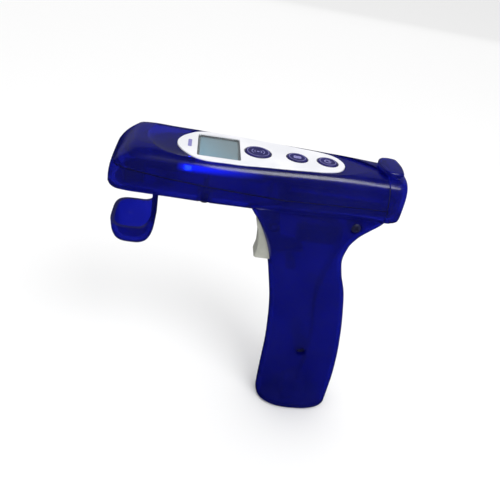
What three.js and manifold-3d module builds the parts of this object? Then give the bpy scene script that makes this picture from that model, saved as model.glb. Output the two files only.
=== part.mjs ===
// Hand-held microchip scanner with a pistol grip, in millimetres, +Z up.
// The origin is the centre of the grip's flat base. The nose points to -X and the user stands at +X.
import * as THREE from "three";
import { LoftGeometry } from "three/addons/geometries/LoftGeometry.js";
import { mergeVertices } from "three/addons/utils/BufferGeometryUtils.js";
import Module from "manifold-3d";

// ---- Driving dimensions ----
// Overall
const BARREL_LENGTH = 134.9;
const BARREL_HALF_WIDTH = 20;
const BARREL_HEIGHT = 24; // underside to the control panel's face
const GRIP_HEIGHT = 129; // flat base to the barrel's underside
const REAR_X = 23.2; // rear face of the barrel, from the middle of the grip's base
const WALL = 2;
// Gaps
const SEAM_GAP = 0.3; // between mating shells
const SEAT_GAP = 0.3; // between a piece and what it is seated in or on
const SLIDE_GAP = 0.4; // round a piece that moves
const PIN_GAP = 0.1; // radial, round a turning pin
// Control panel and display
const NOSE_LENGTH = 27.9; // front of the nose to the panel's front tip
const REAR_DECK = 29; // panel's rear tip to the rear face
const PANEL_THICKNESS = 1.4;
const PANEL_SHOULDER = 3.8; // panel's widest edge to the barrel's side
const PANEL_MARGIN = 2; // sunk border round the panel
const BORDER_DEPTH = 0.4; // sunk border's floor below the panel's face
const DISPLAY_LENGTH = 19.5;
const DISPLAY_WIDTH = 24;
const DISPLAY_TO_KEY = 2.1; // display's rear edge to the read key's edge
const WINDOW_THICKNESS = 1;
const LCD_THICKNESS = 1.5;
const BACKLIGHT_THICKNESS = 2.3;
// Keys, the power key nearest the rear
const READ_KEY_RADIUS = 6.1;
const SMALL_KEY_RADIUS = 4.9;
const POWER_KEY_TO_TIP = 3.4; // key's edge to the panel's rear tip
const MENU_TO_POWER = 4.7; // between the keys' edges
const READ_TO_MENU = 7.4;
const KEY_PROUD = 0.5;
const KEY_FLANGE = 0.9; // flange that keeps a key under the panel
const KEY_STEM_RADIUS = 1.6;
const KEY_TRAVEL = 0.5;
const SWITCH_SIZE = 6;
const SWITCH_HEIGHT = 1.6;
// Boards and antenna
const BOARD_THICKNESS = 1.2;
const BOARD_BELOW_FACE = 6.4;
const ANTENNA_DEPTH = 9; // along X
const ANTENNA_WALL = 1.5;
const COIL_THICKNESS = 2;
const BEEPER_RADIUS = 6;
const BEEPER_HEIGHT = 3;
const LED_RADIUS = 1.5;
// Batteries
const CELL_RADIUS = 5.25;
const CELL_LENGTH = 44.5;
const CELL_BELOW_FACE = 14.2;
const CARRIER_WALL = 1.2;
const CONTACT_THICKNESS = 0.6;
// Trigger
const TRIGGER_WIDTH = 10;
const TRIGGER_BOSS_RADIUS = 3.2;
const TRIGGER_PIN_RADIUS = 1.25;
const TRIGGER_PIN_HALF = 8.5; // half the pin's length
const PLUNGER_RADIUS = 0.9;
const MICROSWITCH_LENGTH = 19.8;
const MICROSWITCH_HEIGHT = 7;
const MICROSWITCH_WIDTH = 6.4;
const SPRING_RADIUS = 2.2;
const SPRING_WIRE = 0.35; // radius
const SPRING_TURNS = 4;
// Tray under the nose
const TRAY_LENGTH = 21;
const TRAY_HALF_WIDTH = 14.5;
const TRAY_DEPTH = 10.8;
const TRAY_DROP = 16; // barrel's underside to the tray's rim
const TRAY_WALL = 1.8;
const STEM_THICKNESS = 2;
const STEM_HALF_WIDTH = 12;
// Rear cover
const COVER_PIN_RADIUS = 1;
const LUG_WIDTH = 3;
const LUG_CENTRE = 7;
const TAB_HALF_WIDTH = 8.8;
const TAB_LENGTH = 10.6;
const TAB_HEIGHT = 3.2;
// Screws and port
const SCREW_HEAD_RADIUS = 2.3;
const SCREW_HEAD_HEIGHT = 1.6;
const SCREW_SHANK_RADIUS = 1.2;
const BOSS_RADIUS = 3;
const HEAD_BOSS_RADIUS = 3.6; // boss that also holds a screw's head
const PORT_WIDTH = 12;
const PORT_DEPTH = 11;
const PORT_HEIGHT = 12;
const PORT_WALL = 1.2;
const WIRE_RADIUS = 0.6;

// ---- Places that follow from them ----
const FACE_Z = GRIP_HEIGHT + BARREL_HEIGHT; // control panel's face
const NOSE_X = REAR_X - BARREL_LENGTH;
const PANEL_FRONT = NOSE_X + NOSE_LENGTH;
const PANEL_REAR = REAR_X - REAR_DECK;
const PANEL_HALF_WIDTH = BARREL_HALF_WIDTH - PANEL_SHOULDER;
const POWER_KEY_X = PANEL_REAR - POWER_KEY_TO_TIP - SMALL_KEY_RADIUS;
const MENU_KEY_X = POWER_KEY_X - MENU_TO_POWER - 2 * SMALL_KEY_RADIUS;
const READ_KEY_X = MENU_KEY_X - SMALL_KEY_RADIUS - READ_TO_MENU - READ_KEY_RADIUS;
const DISPLAY_X = READ_KEY_X - READ_KEY_RADIUS - DISPLAY_TO_KEY - DISPLAY_LENGTH / 2;
const POCKET_Z = FACE_Z - PANEL_THICKNESS - SEAT_GAP; // floor that the panel is seated on
const CEILING_Z = POCKET_Z - WALL + SEAT_GAP; // underside of that floor
const BOARD_TOP = FACE_Z - BOARD_BELOW_FACE;
const BOARD_BOTTOM = BOARD_TOP - BOARD_THICKNESS;
const FLOOR_Z = GRIP_HEIGHT + WALL; // inside floor of the barrel
const HALF_GAP = SEAM_GAP / 2;
const FAR = 200; // past the object on every side

// ---- Solids ----
const wasm = await Module();
wasm.setup();

function toSolid(geometry) {
  const bare = new THREE.BufferGeometry().copy(geometry);
  bare.deleteAttribute("normal");
  bare.deleteAttribute("uv");
  const merged = mergeVertices(bare, 1e-4);
  const corners = [];
  const index = merged.index.array;
  for (let i = 0; i < index.length; i += 3) {
    const [a, b, c] = index.slice(i, i + 3);
    if (a !== b && b !== c && c !== a) corners.push(a, b, c);
  }
  return new wasm.Manifold(
    new wasm.Mesh({
      numProp: 3,
      vertProperties: new Float32Array(merged.attributes.position.array),
      triVerts: new Uint32Array(corners),
    }),
  );
}

function toGeometry(solid) {
  const mesh = solid.getMesh();
  const shared = new THREE.BufferGeometry();
  shared.setAttribute("position", new THREE.BufferAttribute(mesh.vertProperties, mesh.numProp));
  shared.setIndex(new THREE.BufferAttribute(mesh.triVerts, 1));
  const faceted = shared.toNonIndexed();
  faceted.computeVertexNormals();
  return faceted;
}

const join = (first, ...others) => others.reduce((sum, next) => sum.add(next), first);
const cut = (first, ...others) => others.reduce((sum, next) => sum.subtract(next), first);

function box(lengthX, widthY, heightZ, x, y, z) {
  return toSolid(new THREE.BoxGeometry(lengthX, widthY, heightZ).translate(x, y, z));
}

// A box given by the two ends of each side.
function span([x0, x1], [y0, y1], [z0, z1]) {
  return box(x1 - x0, y1 - y0, z1 - z0, (x0 + x1) / 2, (y0 + y1) / 2, (z0 + z1) / 2);
}

// A cylinder along an axis, from start to end on that axis, through the other two coordinates.
function rod(axis, radius, start, end, first, second, sides = 16) {
  const geometry = new THREE.CylinderGeometry(radius, radius, end - start, sides);
  const middle = (start + end) / 2;
  if (axis === "x") geometry.rotateZ(-Math.PI / 2).translate(middle, first, second);
  if (axis === "y") geometry.translate(first, middle, second);
  if (axis === "z") geometry.rotateX(Math.PI / 2).translate(first, second, middle);
  return toSolid(geometry);
}

// A side view outline of [x, z] points, carried across from y0 to y1.
function sideCut(points, y0 = -FAR, y1 = FAR) {
  const outline = new THREE.Shape(points.map(([x, z]) => new THREE.Vector2(x, z)));
  const geometry = new THREE.ExtrudeGeometry(outline, { depth: y1 - y0, bevelEnabled: false });
  return toSolid(geometry.rotateX(Math.PI / 2).translate(0, y1, 0));
}

// A plan view outline, raised from z0 to z1.
function planSolid(outline, z0, z1, curveSegments = 8) {
  const options = { depth: z1 - z0, bevelEnabled: false, curveSegments };
  return toSolid(new THREE.ExtrudeGeometry(outline, options).translate(0, 0, z0));
}

function roundedRectangle(length, width, radius, x = 0, y = 0) {
  const outline = new THREE.Shape();
  const [a, b] = [length / 2 - radius, width / 2 - radius];
  outline.absarc(x + a, y + b, radius, 0, Math.PI / 2);
  outline.absarc(x - a, y + b, radius, Math.PI / 2, Math.PI);
  outline.absarc(x - a, y - b, radius, Math.PI, 1.5 * Math.PI);
  outline.absarc(x + a, y - b, radius, 1.5 * Math.PI, 2 * Math.PI);
  return outline;
}

// Points round a squared-off ellipse, whose upper and lower halves can have their own height and
// squareness. A squareness of 2 is a plain ellipse.
function roundRing(halfU, [up, down], steps, squareness, lowerSquareness = squareness) {
  return Array.from({ length: steps }, (_, step) => {
    const turn = ((step + 0.5) / steps) * 2 * Math.PI;
    const [c, s] = [Math.cos(turn), Math.sin(turn)];
    const power = 2 / (s > 0 ? squareness : lowerSquareness);
    const halfV = s > 0 ? up : down;
    return [halfU * Math.sign(c) * Math.abs(c) ** power, halfV * Math.sign(s) * Math.abs(s) ** power];
  });
}

// Height on a line of [x, z] points at one x.
function heightOn(line, x) {
  let end = line.findIndex(([at]) => at >= x);
  if (end === -1) end = line.length - 1;
  end = Math.max(1, end);
  const [[x0, z0], [x1, z1]] = [line[end - 1], line[end]];
  return z0 + ((z1 - z0) * (x - x0)) / (x1 - x0);
}

// ---- Barrel ----
const SADDLE_X = -33; // where the grip's saddle meets the parting line
const SADDLE_FRONT_X = -50.5; // front of the saddle on the underside
// Parting line between the upper and lower shells, as [x, height].
const seamLine = [
  [NOSE_X - 1, FACE_Z - 6.1],
  [NOSE_X + 24, FACE_Z - 9.4],
  [SADDLE_X, FACE_Z - 13.8],
  [REAR_X + 1, FACE_Z - 14.2],
];
// Each nose station: distance from the nose, share of the full half width, top above the panel's
// face, rise of the underside, squareness of the upper corners, and how far the widest line lies
// below the parting line.
const NOSE_RISE = 0.9; // underside of the nose above the barrel's underside at the grip
const noseStations = [
  [0, 0.78, -9.5, NOSE_RISE + 5, 3.2, 9],
  [0.9, 0.88, -7, NOSE_RISE + 2.9, 3.2, 7],
  [3.4, 0.96, -3.6, NOSE_RISE + 1, 3.2, 4],
  [7, 0.99, -0.4, NOSE_RISE + 0.3, 3.2, 1.5],
  [11, 1, 2.1, NOSE_RISE, 3.2, 0.4],
  [18, 1, 2.6, NOSE_RISE, 3.2, 0],
  [26, 1, 2, NOSE_RISE, 3.6, 0],
];
// Each body station is placed by its share of the length behind the nose stations.
const bodyStations = [
  [0.14, 1, 1.4, 0.7, 4.2],
  [0.32, 0.95, 1.2, 0.5, 4.2],
  [0.52, 0.865, 1.2, 0, 4.2],
  [0.73, 0.77, 1, 0, 4],
  [0.88, 0.72, 0.6, 0, 3.6],
  [0.975, 0.69, 0.3, 0, 3.4],
  [1, 0.65, -0.6, 1, 3.4],
];
const NOSE_PLATEAU = 1.9; // flat top of the nose above the panel's face
const FLOOR_SQUARENESS = 3;
const RING_STEPS = 32;

// Closed rings of the barrel's form, drawn in by inset all round.
function barrelRings(inset) {
  const noseEnd = noseStations.at(-1)[0];
  const rows = noseStations.map(([at, ...rest]) => [NOSE_X + at, ...rest]);
  for (const [share, ...rest] of bodyStations) {
    rows.push([NOSE_X + noseEnd + share * (BARREL_LENGTH - noseEnd), ...rest]);
  }
  const squeeze = (BARREL_LENGTH - 2 * inset) / BARREL_LENGTH;
  const ceiling = inset ? CEILING_Z : FACE_Z + NOSE_PLATEAU;
  return rows.map(([x, width, top, rise, squareness, drop = 0]) => {
    const widest = heightOn(seamLine, x) - drop;
    const halfWidth = BARREL_HALF_WIDTH * width - inset;
    const up = FACE_Z + top - inset - widest;
    const down = widest - (GRIP_HEIGHT + rise + inset);
    const ringX = NOSE_X + inset + (x - NOSE_X) * squeeze;
    return roundRing(halfWidth, [up, down], RING_STEPS, squareness, FLOOR_SQUARENESS).map(
      ([y, z]) => new THREE.Vector3(ringX, y, Math.min(widest + z, ceiling)),
    );
  });
}

const capped = { capStart: true, capEnd: true };
const barrelForm = toSolid(new LoftGeometry(barrelRings(0), capped));
const barrelHollow = toSolid(new LoftGeometry(barrelRings(WALL), capped));

// Dish in front of the panel: a shallow bowl turned about a vertical axis.
const DISH_X = PANEL_FRONT + 6.6;
const DISH_RADIUS = 20;
const dish = toSolid(
  new THREE.LatheGeometry(
    [
      [0, BORDER_DEPTH * -1],
      [8, BORDER_DEPTH * -1],
      [14, -0.1],
      [18, 0.7],
      [DISH_RADIUS, 1.6],
      [DISH_RADIUS + 1, 4],
      [0, 4],
    ].map(([r, z]) => new THREE.Vector2(r, z)),
    48,
  )
    .rotateX(Math.PI / 2)
    .translate(DISH_X, 0, FACE_Z),
);

// Leaf outline of the panel, as [share of its length, share of its half width] down one side.
const leafShape = [
  [0, 0],
  [0.012, 0.3],
  [0.06, 0.66],
  [0.13, 0.93],
  [0.28, 0.98],
  [0.53, 0.88],
  [0.77, 0.74],
  [0.88, 0.65],
  [0.95, 0.5],
  [0.988, 0.25],
  [1, 0],
];
// The sunk border runs past the panel's rear tip to a point.
const borderShape = [
  [0, 0],
  [0.012, 0.3],
  [0.06, 0.64],
  [0.13, 0.93],
  [0.27, 1],
  [0.46, 0.935],
  [0.64, 0.8],
  [0.79, 0.65],
  [0.88, 0.5],
  [0.95, 0.28],
  [1, 0],
];

function leafOutline(shape, front, rear, halfWidth) {
  const side = shape.map(([along, out]) => [front + along * (rear - front), out * halfWidth]);
  const far = side.slice(1, -1).reverse().map(([x, y]) => [x, -y]);
  const points = [...side, ...far].map(([x, y]) => new THREE.Vector3(x, y, 0));
  const curve = new THREE.CatmullRomCurve3(points, true, "centripetal");
  return new THREE.Shape(curve.getPoints(44).slice(1).map(({ x, y }) => new THREE.Vector2(x, y)));
}

const BORDER_TAIL = 15.7; // border's rear point behind the panel's rear tip
const panelOutline = leafOutline(leafShape, PANEL_FRONT, PANEL_REAR, PANEL_HALF_WIDTH);
const pocketOutline = leafOutline(
  leafShape,
  PANEL_FRONT - SEAT_GAP,
  PANEL_REAR + SEAT_GAP,
  PANEL_HALF_WIDTH + SEAT_GAP,
);
const borderOutline = leafOutline(
  borderShape,
  PANEL_FRONT - PANEL_MARGIN,
  PANEL_REAR + BORDER_TAIL,
  PANEL_HALF_WIDTH + PANEL_MARGIN,
);

// Slanted plane where the rear cover starts, and the saddle's edge.
const COVER_TOP_X = REAR_X - 10;
const COVER_BOTTOM_X = REAR_X - 5.2;
const coverPlane = [
  [COVER_TOP_X, FACE_Z + 5],
  [COVER_BOTTOM_X, GRIP_HEIGHT - 3],
];
const above = (line, gap) =>
  sideCut([
    [-FAR, heightOn(line, -FAR) + gap],
    ...line.slice(1, -1).map(([x, z]) => [x, z + gap]),
    [FAR, heightOn(line, FAR) + gap],
    [FAR, 2 * FAR],
    [-FAR, 2 * FAR],
  ]);
const aboveSeam = above(seamLine, HALF_GAP);
const belowSeam = cut(box(2 * FAR, 2 * FAR, 4 * FAR, 0, 0, 0), above(seamLine, -HALF_GAP));
const beforeCover = (gap) =>
  sideCut([
    [-2 * FAR, -FAR],
    ...coverPlane.toReversed().map(([x, z]) => [x + gap, z]),
    [COVER_TOP_X + gap, 2 * FAR],
    [-2 * FAR, 2 * FAR],
  ]);
const saddleRegion = (gap) =>
  sideCut([
    [SADDLE_FRONT_X - gap, -FAR],
    [FAR, -FAR],
    [FAR, FACE_Z],
    [SADDLE_X - gap, FACE_Z],
    [SADDLE_X - gap, FACE_Z - 13.8],
    [SADDLE_X - 4.1 - gap, FACE_Z - 16.2],
    [SADDLE_X - 9.8 - gap, FACE_Z - 17.7],
    [SADDLE_FRONT_X + 2.6 - gap, FACE_Z - 18.6],
    [SADDLE_FRONT_X - gap, GRIP_HEIGHT - 1],
  ]);

// ---- Grip ----
// Each station: share of the grip's height, front edge, rear edge and half width.
const gripStations = [
  [0, -19.8, 20.4, 13],
  [0.012, -21.2, 21.6, 14.2],
  [0.14, -21.9, 21.6, 14.5],
  [0.28, -22.3, 20.6, 14.3],
  [0.43, -23.8, 18.1, 14],
  [0.535, -25.6, 15.6, 13.7],
  [0.635, -28.3, 12.6, 13.4],
  [0.725, -31.1, 8.3, 13.2],
  [0.805, -34, 6.1, 13.2],
  [0.868, -37.4, 7.4, 13.4],
  [0.92, -41, 11.2, 13.7],
  [0.965, -45, 17.6, 13.7],
  [0.985, -47, 20.7, 13.6],
  [1, -48.8, 21.8, 13.3],
  [1.055, -46, 20, 10.4],
];
const GRIP_SQUARENESS = 2.5;
const GRIP_STEPS = 28;
const BASE_ROWS = 2; // stations that make the rounded edge of the base

function gripRings(inset) {
  return gripStations.map(([share, front, rear, halfWidth], row) => {
    const z = GRIP_HEIGHT * share + (row < BASE_ROWS ? inset : 0);
    const [middle, reach] = [(front + rear) / 2, (rear - front) / 2 - inset];
    const half = halfWidth - inset;
    return roundRing(reach, [half, half], GRIP_STEPS, GRIP_SQUARENESS).map(
      ([x, y]) => new THREE.Vector3(middle + x, y, z),
    );
  });
}

const gripForm = toSolid(new LoftGeometry(gripRings(0), capped));
const gripHollow = toSolid(new LoftGeometry(gripRings(WALL), capped));

// ---- Trigger ----
const PIVOT_X = -33.5;
const PIVOT_Z = GRIP_HEIGHT - 8.5;
const TRIGGER_TIP_Z = PIVOT_Z - 22.2;
const TRIGGER_BACK_X = PIVOT_X + 2.5;
const ARM_Z = GRIP_HEIGHT - 23.8; // underside of the arm that reaches back to the switch
const ARM_THICKNESS = 2.4;
const PLUNGER_X = PIVOT_X + 16;
const MICROSWITCH_Z = GRIP_HEIGHT - 18; // underside of the switch
const SPRING_Z = GRIP_HEIGHT - 28;
const SPRING_POST_X = PIVOT_X + 12;
const SPRING_POST_RADIUS = 2.6;
const EDGE = 0.6; // rounding of the trigger's edges

const triggerOutline = new THREE.Shape();
triggerOutline.moveTo(PIVOT_X - 7.6, PIVOT_Z + 0.9);
triggerOutline.splineThru(
  [
    [-8.1, -1.5],
    [-6.6, -7],
    [-5.8, -12],
    [-5.6, -16.5],
    [-6.2, -20.2],
    [-6.3, -21.6],
    [-5.4, -22.2],
  ].map(([x, z]) => new THREE.Vector2(PIVOT_X + x, PIVOT_Z + z)),
);
triggerOutline.lineTo(TRIGGER_BACK_X, TRIGGER_TIP_Z);
triggerOutline.lineTo(TRIGGER_BACK_X, ARM_Z);
triggerOutline.lineTo(PLUNGER_X + 1.5, ARM_Z);
triggerOutline.lineTo(PLUNGER_X + 1.5, ARM_Z + ARM_THICKNESS);
triggerOutline.lineTo(TRIGGER_BACK_X + 3, ARM_Z + ARM_THICKNESS + 0.8);
triggerOutline.lineTo(PIVOT_X + TRIGGER_BOSS_RADIUS, PIVOT_Z);
triggerOutline.absarc(PIVOT_X, PIVOT_Z, TRIGGER_BOSS_RADIUS, 0, Math.PI * 0.5);
triggerOutline.lineTo(PIVOT_X - 7.6, PIVOT_Z + 0.9);

const triggerBlank = toSolid(
  new THREE.ExtrudeGeometry(triggerOutline, {
    depth: TRIGGER_WIDTH - 2 * EDGE,
    bevelSize: EDGE,
    bevelOffset: -EDGE,
    bevelThickness: EDGE,
    bevelSegments: 1,
    curveSegments: 4,
  })
    .rotateX(Math.PI / 2)
    .translate(0, TRIGGER_WIDTH / 2 - EDGE, 0),
);
const trigger = cut(triggerBlank, rod("y", TRIGGER_PIN_RADIUS + PIN_GAP, -FAR, FAR, PIVOT_X, PIVOT_Z));

// Slot that the blade passes through, wide enough for its whole swing.
const SLOT_TOP_Z = PIVOT_Z + 2;
const SLOT_BOTTOM_Z = TRIGGER_TIP_Z - 1.4;
const triggerSlot = span(
  [-FAR, PIVOT_X + 6],
  [-TRIGGER_WIDTH / 2 - SLIDE_GAP, TRIGGER_WIDTH / 2 + SLIDE_GAP],
  [SLOT_BOTTOM_Z, SLOT_TOP_Z],
);

const triggerPin = rod("y", TRIGGER_PIN_RADIUS, -TRIGGER_PIN_HALF, TRIGGER_PIN_HALF, 0, 0);

// Coil spring between the trigger's back and its post, along X.
class Helix extends THREE.Curve {
  constructor(radius, turns, length) {
    super();
    Object.assign(this, { radius, turns, length });
  }
  getPoint(share, target = new THREE.Vector3()) {
    const turn = share * this.turns * 2 * Math.PI;
    const [y, z] = [this.radius * Math.cos(turn), this.radius * Math.sin(turn)];
    return target.set(this.length * share, y, z);
  }
}
const wireSection = (radius, sides) => {
  const outline = new THREE.Shape();
  for (let side = 0; side < sides; side++) {
    const turn = (side / sides) * 2 * Math.PI;
    const corner = [radius * Math.cos(turn), radius * Math.sin(turn)];
    if (side === 0) outline.moveTo(...corner);
    else outline.lineTo(...corner);
  }
  outline.closePath();
  return outline;
};
const SPRING_START_X = TRIGGER_BACK_X + SEAT_GAP + SPRING_WIRE;
const SPRING_LENGTH = SPRING_POST_X - SPRING_POST_RADIUS - SEAT_GAP - SPRING_WIRE - SPRING_START_X;
const springCoil = toSolid(
  new THREE.ExtrudeGeometry(wireSection(SPRING_WIRE, 5), {
    steps: SPRING_TURNS * 8,
    bevelEnabled: false,
    extrudePath: new Helix(SPRING_RADIUS - SPRING_WIRE, SPRING_TURNS, SPRING_LENGTH),
  }),
);

// Trigger switch: a box with its plunger's hole and two mounting holes.
const MOUNT_PITCH = 9.5;
const MOUNT_RADIUS = 0.9;
const SWITCH_MIDDLE_X = PLUNGER_X + MICROSWITCH_LENGTH / 2 - 2.5;
const mountPlaces = [-1, 1].map((side) => [
  SWITCH_MIDDLE_X + (side * MOUNT_PITCH) / 2,
  MICROSWITCH_Z + 2.6,
]);
const PLUNGER_REACH = 3.1; // below the switch at rest
const PLUNGER_INSIDE = 1.4;
const PLUNGER_STROKE = 2.2;
const triggerSwitch = cut(
  box(
    MICROSWITCH_LENGTH,
    MICROSWITCH_WIDTH,
    MICROSWITCH_HEIGHT,
    SWITCH_MIDDLE_X,
    0,
    MICROSWITCH_Z + MICROSWITCH_HEIGHT / 2,
  ),
  rod("z", PLUNGER_RADIUS + SLIDE_GAP, 0, MICROSWITCH_Z + PLUNGER_INSIDE + PLUNGER_STROKE, PLUNGER_X, 0, 12),
  ...mountPlaces.map(([x, z]) => rod("y", MOUNT_RADIUS + SEAT_GAP, -FAR, FAR, x, z, 12)),
);
const plunger = rod("z", PLUNGER_RADIUS, -PLUNGER_REACH, PLUNGER_INSIDE, 0, 0, 12);

// ---- Screws ----
// A cross-head screw along +Z: its head's face at z = 0 and its shank above the head.
function screw(length) {
  const slots = [0, Math.PI / 2].map((turn) => {
    const bar = new THREE.BoxGeometry(SCREW_HEAD_RADIUS * 1.2, 0.6, 1.6);
    return toSolid(bar.rotateZ(turn));
  });
  const shankStart = SCREW_HEAD_HEIGHT / 2;
  return cut(
    join(
      rod("z", SCREW_HEAD_RADIUS, 0, SCREW_HEAD_HEIGHT, 0, 0, 12),
      rod("z", SCREW_SHANK_RADIUS, shankStart, SCREW_HEAD_HEIGHT + length, 0, 0, 8),
    ),
    ...slots,
  );
}
const shankHole = (axis, start, end, first, second) =>
  rod(axis, SCREW_SHANK_RADIUS + SEAT_GAP, start, end, first, second, 10);
const headHole = (axis, start, end, first, second) =>
  rod(axis, SCREW_HEAD_RADIUS + SLIDE_GAP, start, end, first, second, 16);

// Grip screws go in from the left, into bosses of the right half.
const GRIP_SCREW_LENGTH = 14;
const GRIP_HEAD_Y = -12.4;
const GRIP_SEAT_Y = GRIP_HEAD_Y + SCREW_HEAD_HEIGHT + SEAT_GAP;
const gripScrewPlaces = [
  { name: "grip_screw_upper", x: 4.8, z: GRIP_HEIGHT - 2.4 },
  { name: "grip_screw_lower", x: -4.4, z: GRIP_HEIGHT * 0.358 },
];

// Nose screws go up from the underside, beside the display.
const NOSE_SCREW_LENGTH = 12;
const NOSE_PILLAR_RADIUS = BOSS_RADIUS - 0.4; // in the upper shell, above the lower shell's boss
const NOSE_SCREW_X = PANEL_FRONT + 14.85; // where the barrel is widest
const NOSE_SCREW_Y = BARREL_HALF_WIDTH - WALL - NOSE_PILLAR_RADIUS - 0.2;
const NOSE_HEAD_Z = GRIP_HEIGHT + 3.4;
const NOSE_SEAT_Z = NOSE_HEAD_Z + SCREW_HEAD_HEIGHT + SEAT_GAP;
const noseScrewPlaces = [
  { name: "nose_screw_left", y: -NOSE_SCREW_Y },
  { name: "nose_screw_right", y: NOSE_SCREW_Y },
];

// Board screws go up through the board into short pillars of the upper shell.
const BOARD_SCREW_LENGTH = 3.4;
const boardScrewPlaces = [
  { name: "board_screw_front", x: PANEL_FRONT - 8, y: -8 },
  { name: "board_screw_rear", x: MENU_KEY_X - 9.6, y: 9.4 },
];

// ---- Control panel, display and keys ----
const keys = [
  { name: "read", x: READ_KEY_X, radius: READ_KEY_RADIUS },
  { name: "menu", x: MENU_KEY_X, radius: SMALL_KEY_RADIUS },
  { name: "power", x: POWER_KEY_X, radius: SMALL_KEY_RADIUS },
];
const FLANGE_TOP = FACE_Z - PANEL_THICKNESS - SEAT_GAP;
const FLANGE_THICKNESS = 0.8;
const STEM_BOTTOM = BOARD_TOP + SWITCH_HEIGHT + KEY_TRAVEL + SEAT_GAP;
const displayHole = (grow, z0, z1) =>
  planSolid(
    roundedRectangle(DISPLAY_LENGTH + 2 * grow, DISPLAY_WIDTH + 2 * grow, 1 + grow, DISPLAY_X),
    z0,
    z1,
    4,
  );
const DISPLAY_ROOM = 0.9; // shell's opening round the display module
const controlPanel = cut(
  planSolid(panelOutline, FACE_Z - PANEL_THICKNESS, FACE_Z),
  displayHole(0, 0, 2 * FAR),
  ...keys.map(({ x, radius }) => rod("z", radius + SLIDE_GAP, 0, 2 * FAR, x, 0, 24)),
);
const displayWindow = displayHole(-SEAT_GAP, FACE_Z - SEAT_GAP - WINDOW_THICKNESS, FACE_Z - SEAT_GAP);
const LCD_TOP = FACE_Z - PANEL_THICKNESS - SEAT_GAP;
const LCD_BOTTOM = LCD_TOP - LCD_THICKNESS;
const LCD_GROW = DISPLAY_ROOM - SEAT_GAP;
const lcdGlass = displayHole(LCD_GROW, LCD_BOTTOM, LCD_TOP);
const BACKLIGHT_TOP = LCD_BOTTOM - SEAT_GAP;
const lcdBacklight = displayHole(0, BACKLIGHT_TOP - BACKLIGHT_THICKNESS, BACKLIGHT_TOP);

// A key turned about its own axis: stem, flange under the panel and a low crown.
function keySolid(radius) {
  const crown = FACE_Z + KEY_PROUD;
  const flangeRadius = radius + KEY_FLANGE;
  const profile = [
    [0, STEM_BOTTOM],
    [KEY_STEM_RADIUS, STEM_BOTTOM],
    [KEY_STEM_RADIUS, FLANGE_TOP - FLANGE_THICKNESS],
    [flangeRadius, FLANGE_TOP - FLANGE_THICKNESS],
    [flangeRadius, FLANGE_TOP],
    [radius, FLANGE_TOP],
    [radius, crown - 0.5],
    [radius - 0.4, crown - 0.1],
    [radius - 1.4, crown],
    [radius * 0.5, crown - 0.15],
    [0, crown - 0.2],
  ].map(([r, z]) => new THREE.Vector2(r, z - FACE_Z));
  return toSolid(new THREE.LatheGeometry(profile, 20).rotateX(Math.PI / 2));
}

// ---- Boards and antenna ----
const ANTENNA_FRONT = NOSE_X + WALL + 4;
const ANTENNA_REAR = ANTENNA_FRONT + ANTENNA_DEPTH;
const ANTENNA_Z = GRIP_HEIGHT + NOSE_RISE + 10.4;
const ANTENNA_HALF_WIDTH = BARREL_HALF_WIDTH - 7;
const ANTENNA_HALF_HEIGHT = 6;
const FLANGE = 1; // thickness of the antenna former's end flanges
const BOARD_FRONT = ANTENNA_REAR + 1.5;
const BOARD_REAR = POWER_KEY_X + 7;
const BOARD_HALF_WIDTH = 11.5;
const BOARD_WIDE_HALF = 15;
const BOARD_WIDE_REAR = NOSE_SCREW_X - 6;
const antennaRing = (halfWidth, halfHeight, x0, x1) => {
  const outline = roundedRectangle(2 * halfHeight, 2 * halfWidth, Math.min(3, halfHeight - 0.2));
  const geometry = new THREE.ExtrudeGeometry(outline, {
    depth: x1 - x0,
    bevelEnabled: false,
    curveSegments: 4,
  });
  return toSolid(geometry.rotateY(Math.PI / 2).translate(x0, 0, ANTENNA_Z));
};
const CORE_HALF_WIDTH = ANTENNA_HALF_WIDTH - COIL_THICKNESS;
const CORE_HALF_HEIGHT = ANTENNA_HALF_HEIGHT - COIL_THICKNESS;
const antennaFormer = cut(
  join(
    antennaRing(CORE_HALF_WIDTH, CORE_HALF_HEIGHT, ANTENNA_FRONT, ANTENNA_REAR),
    antennaRing(ANTENNA_HALF_WIDTH, ANTENNA_HALF_HEIGHT, ANTENNA_FRONT, ANTENNA_FRONT + FLANGE),
    antennaRing(ANTENNA_HALF_WIDTH, ANTENNA_HALF_HEIGHT, ANTENNA_REAR - FLANGE, ANTENNA_REAR),
  ),
  antennaRing(CORE_HALF_WIDTH - ANTENNA_WALL, CORE_HALF_HEIGHT - ANTENNA_WALL, -FAR, FAR),
);
const antennaCoil = cut(
  antennaRing(
    ANTENNA_HALF_WIDTH - SEAT_GAP,
    ANTENNA_HALF_HEIGHT - SEAT_GAP,
    ANTENNA_FRONT + FLANGE + SEAT_GAP,
    ANTENNA_REAR - FLANGE - SEAT_GAP,
  ),
  antennaRing(CORE_HALF_WIDTH + SEAT_GAP, CORE_HALF_HEIGHT + SEAT_GAP, -FAR, FAR),
);
const antennaFerrite = antennaRing(
  CORE_HALF_WIDTH - ANTENNA_WALL - SEAT_GAP,
  CORE_HALF_HEIGHT - ANTENNA_WALL - SEAT_GAP,
  ANTENNA_FRONT,
  ANTENNA_REAR,
);

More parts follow.
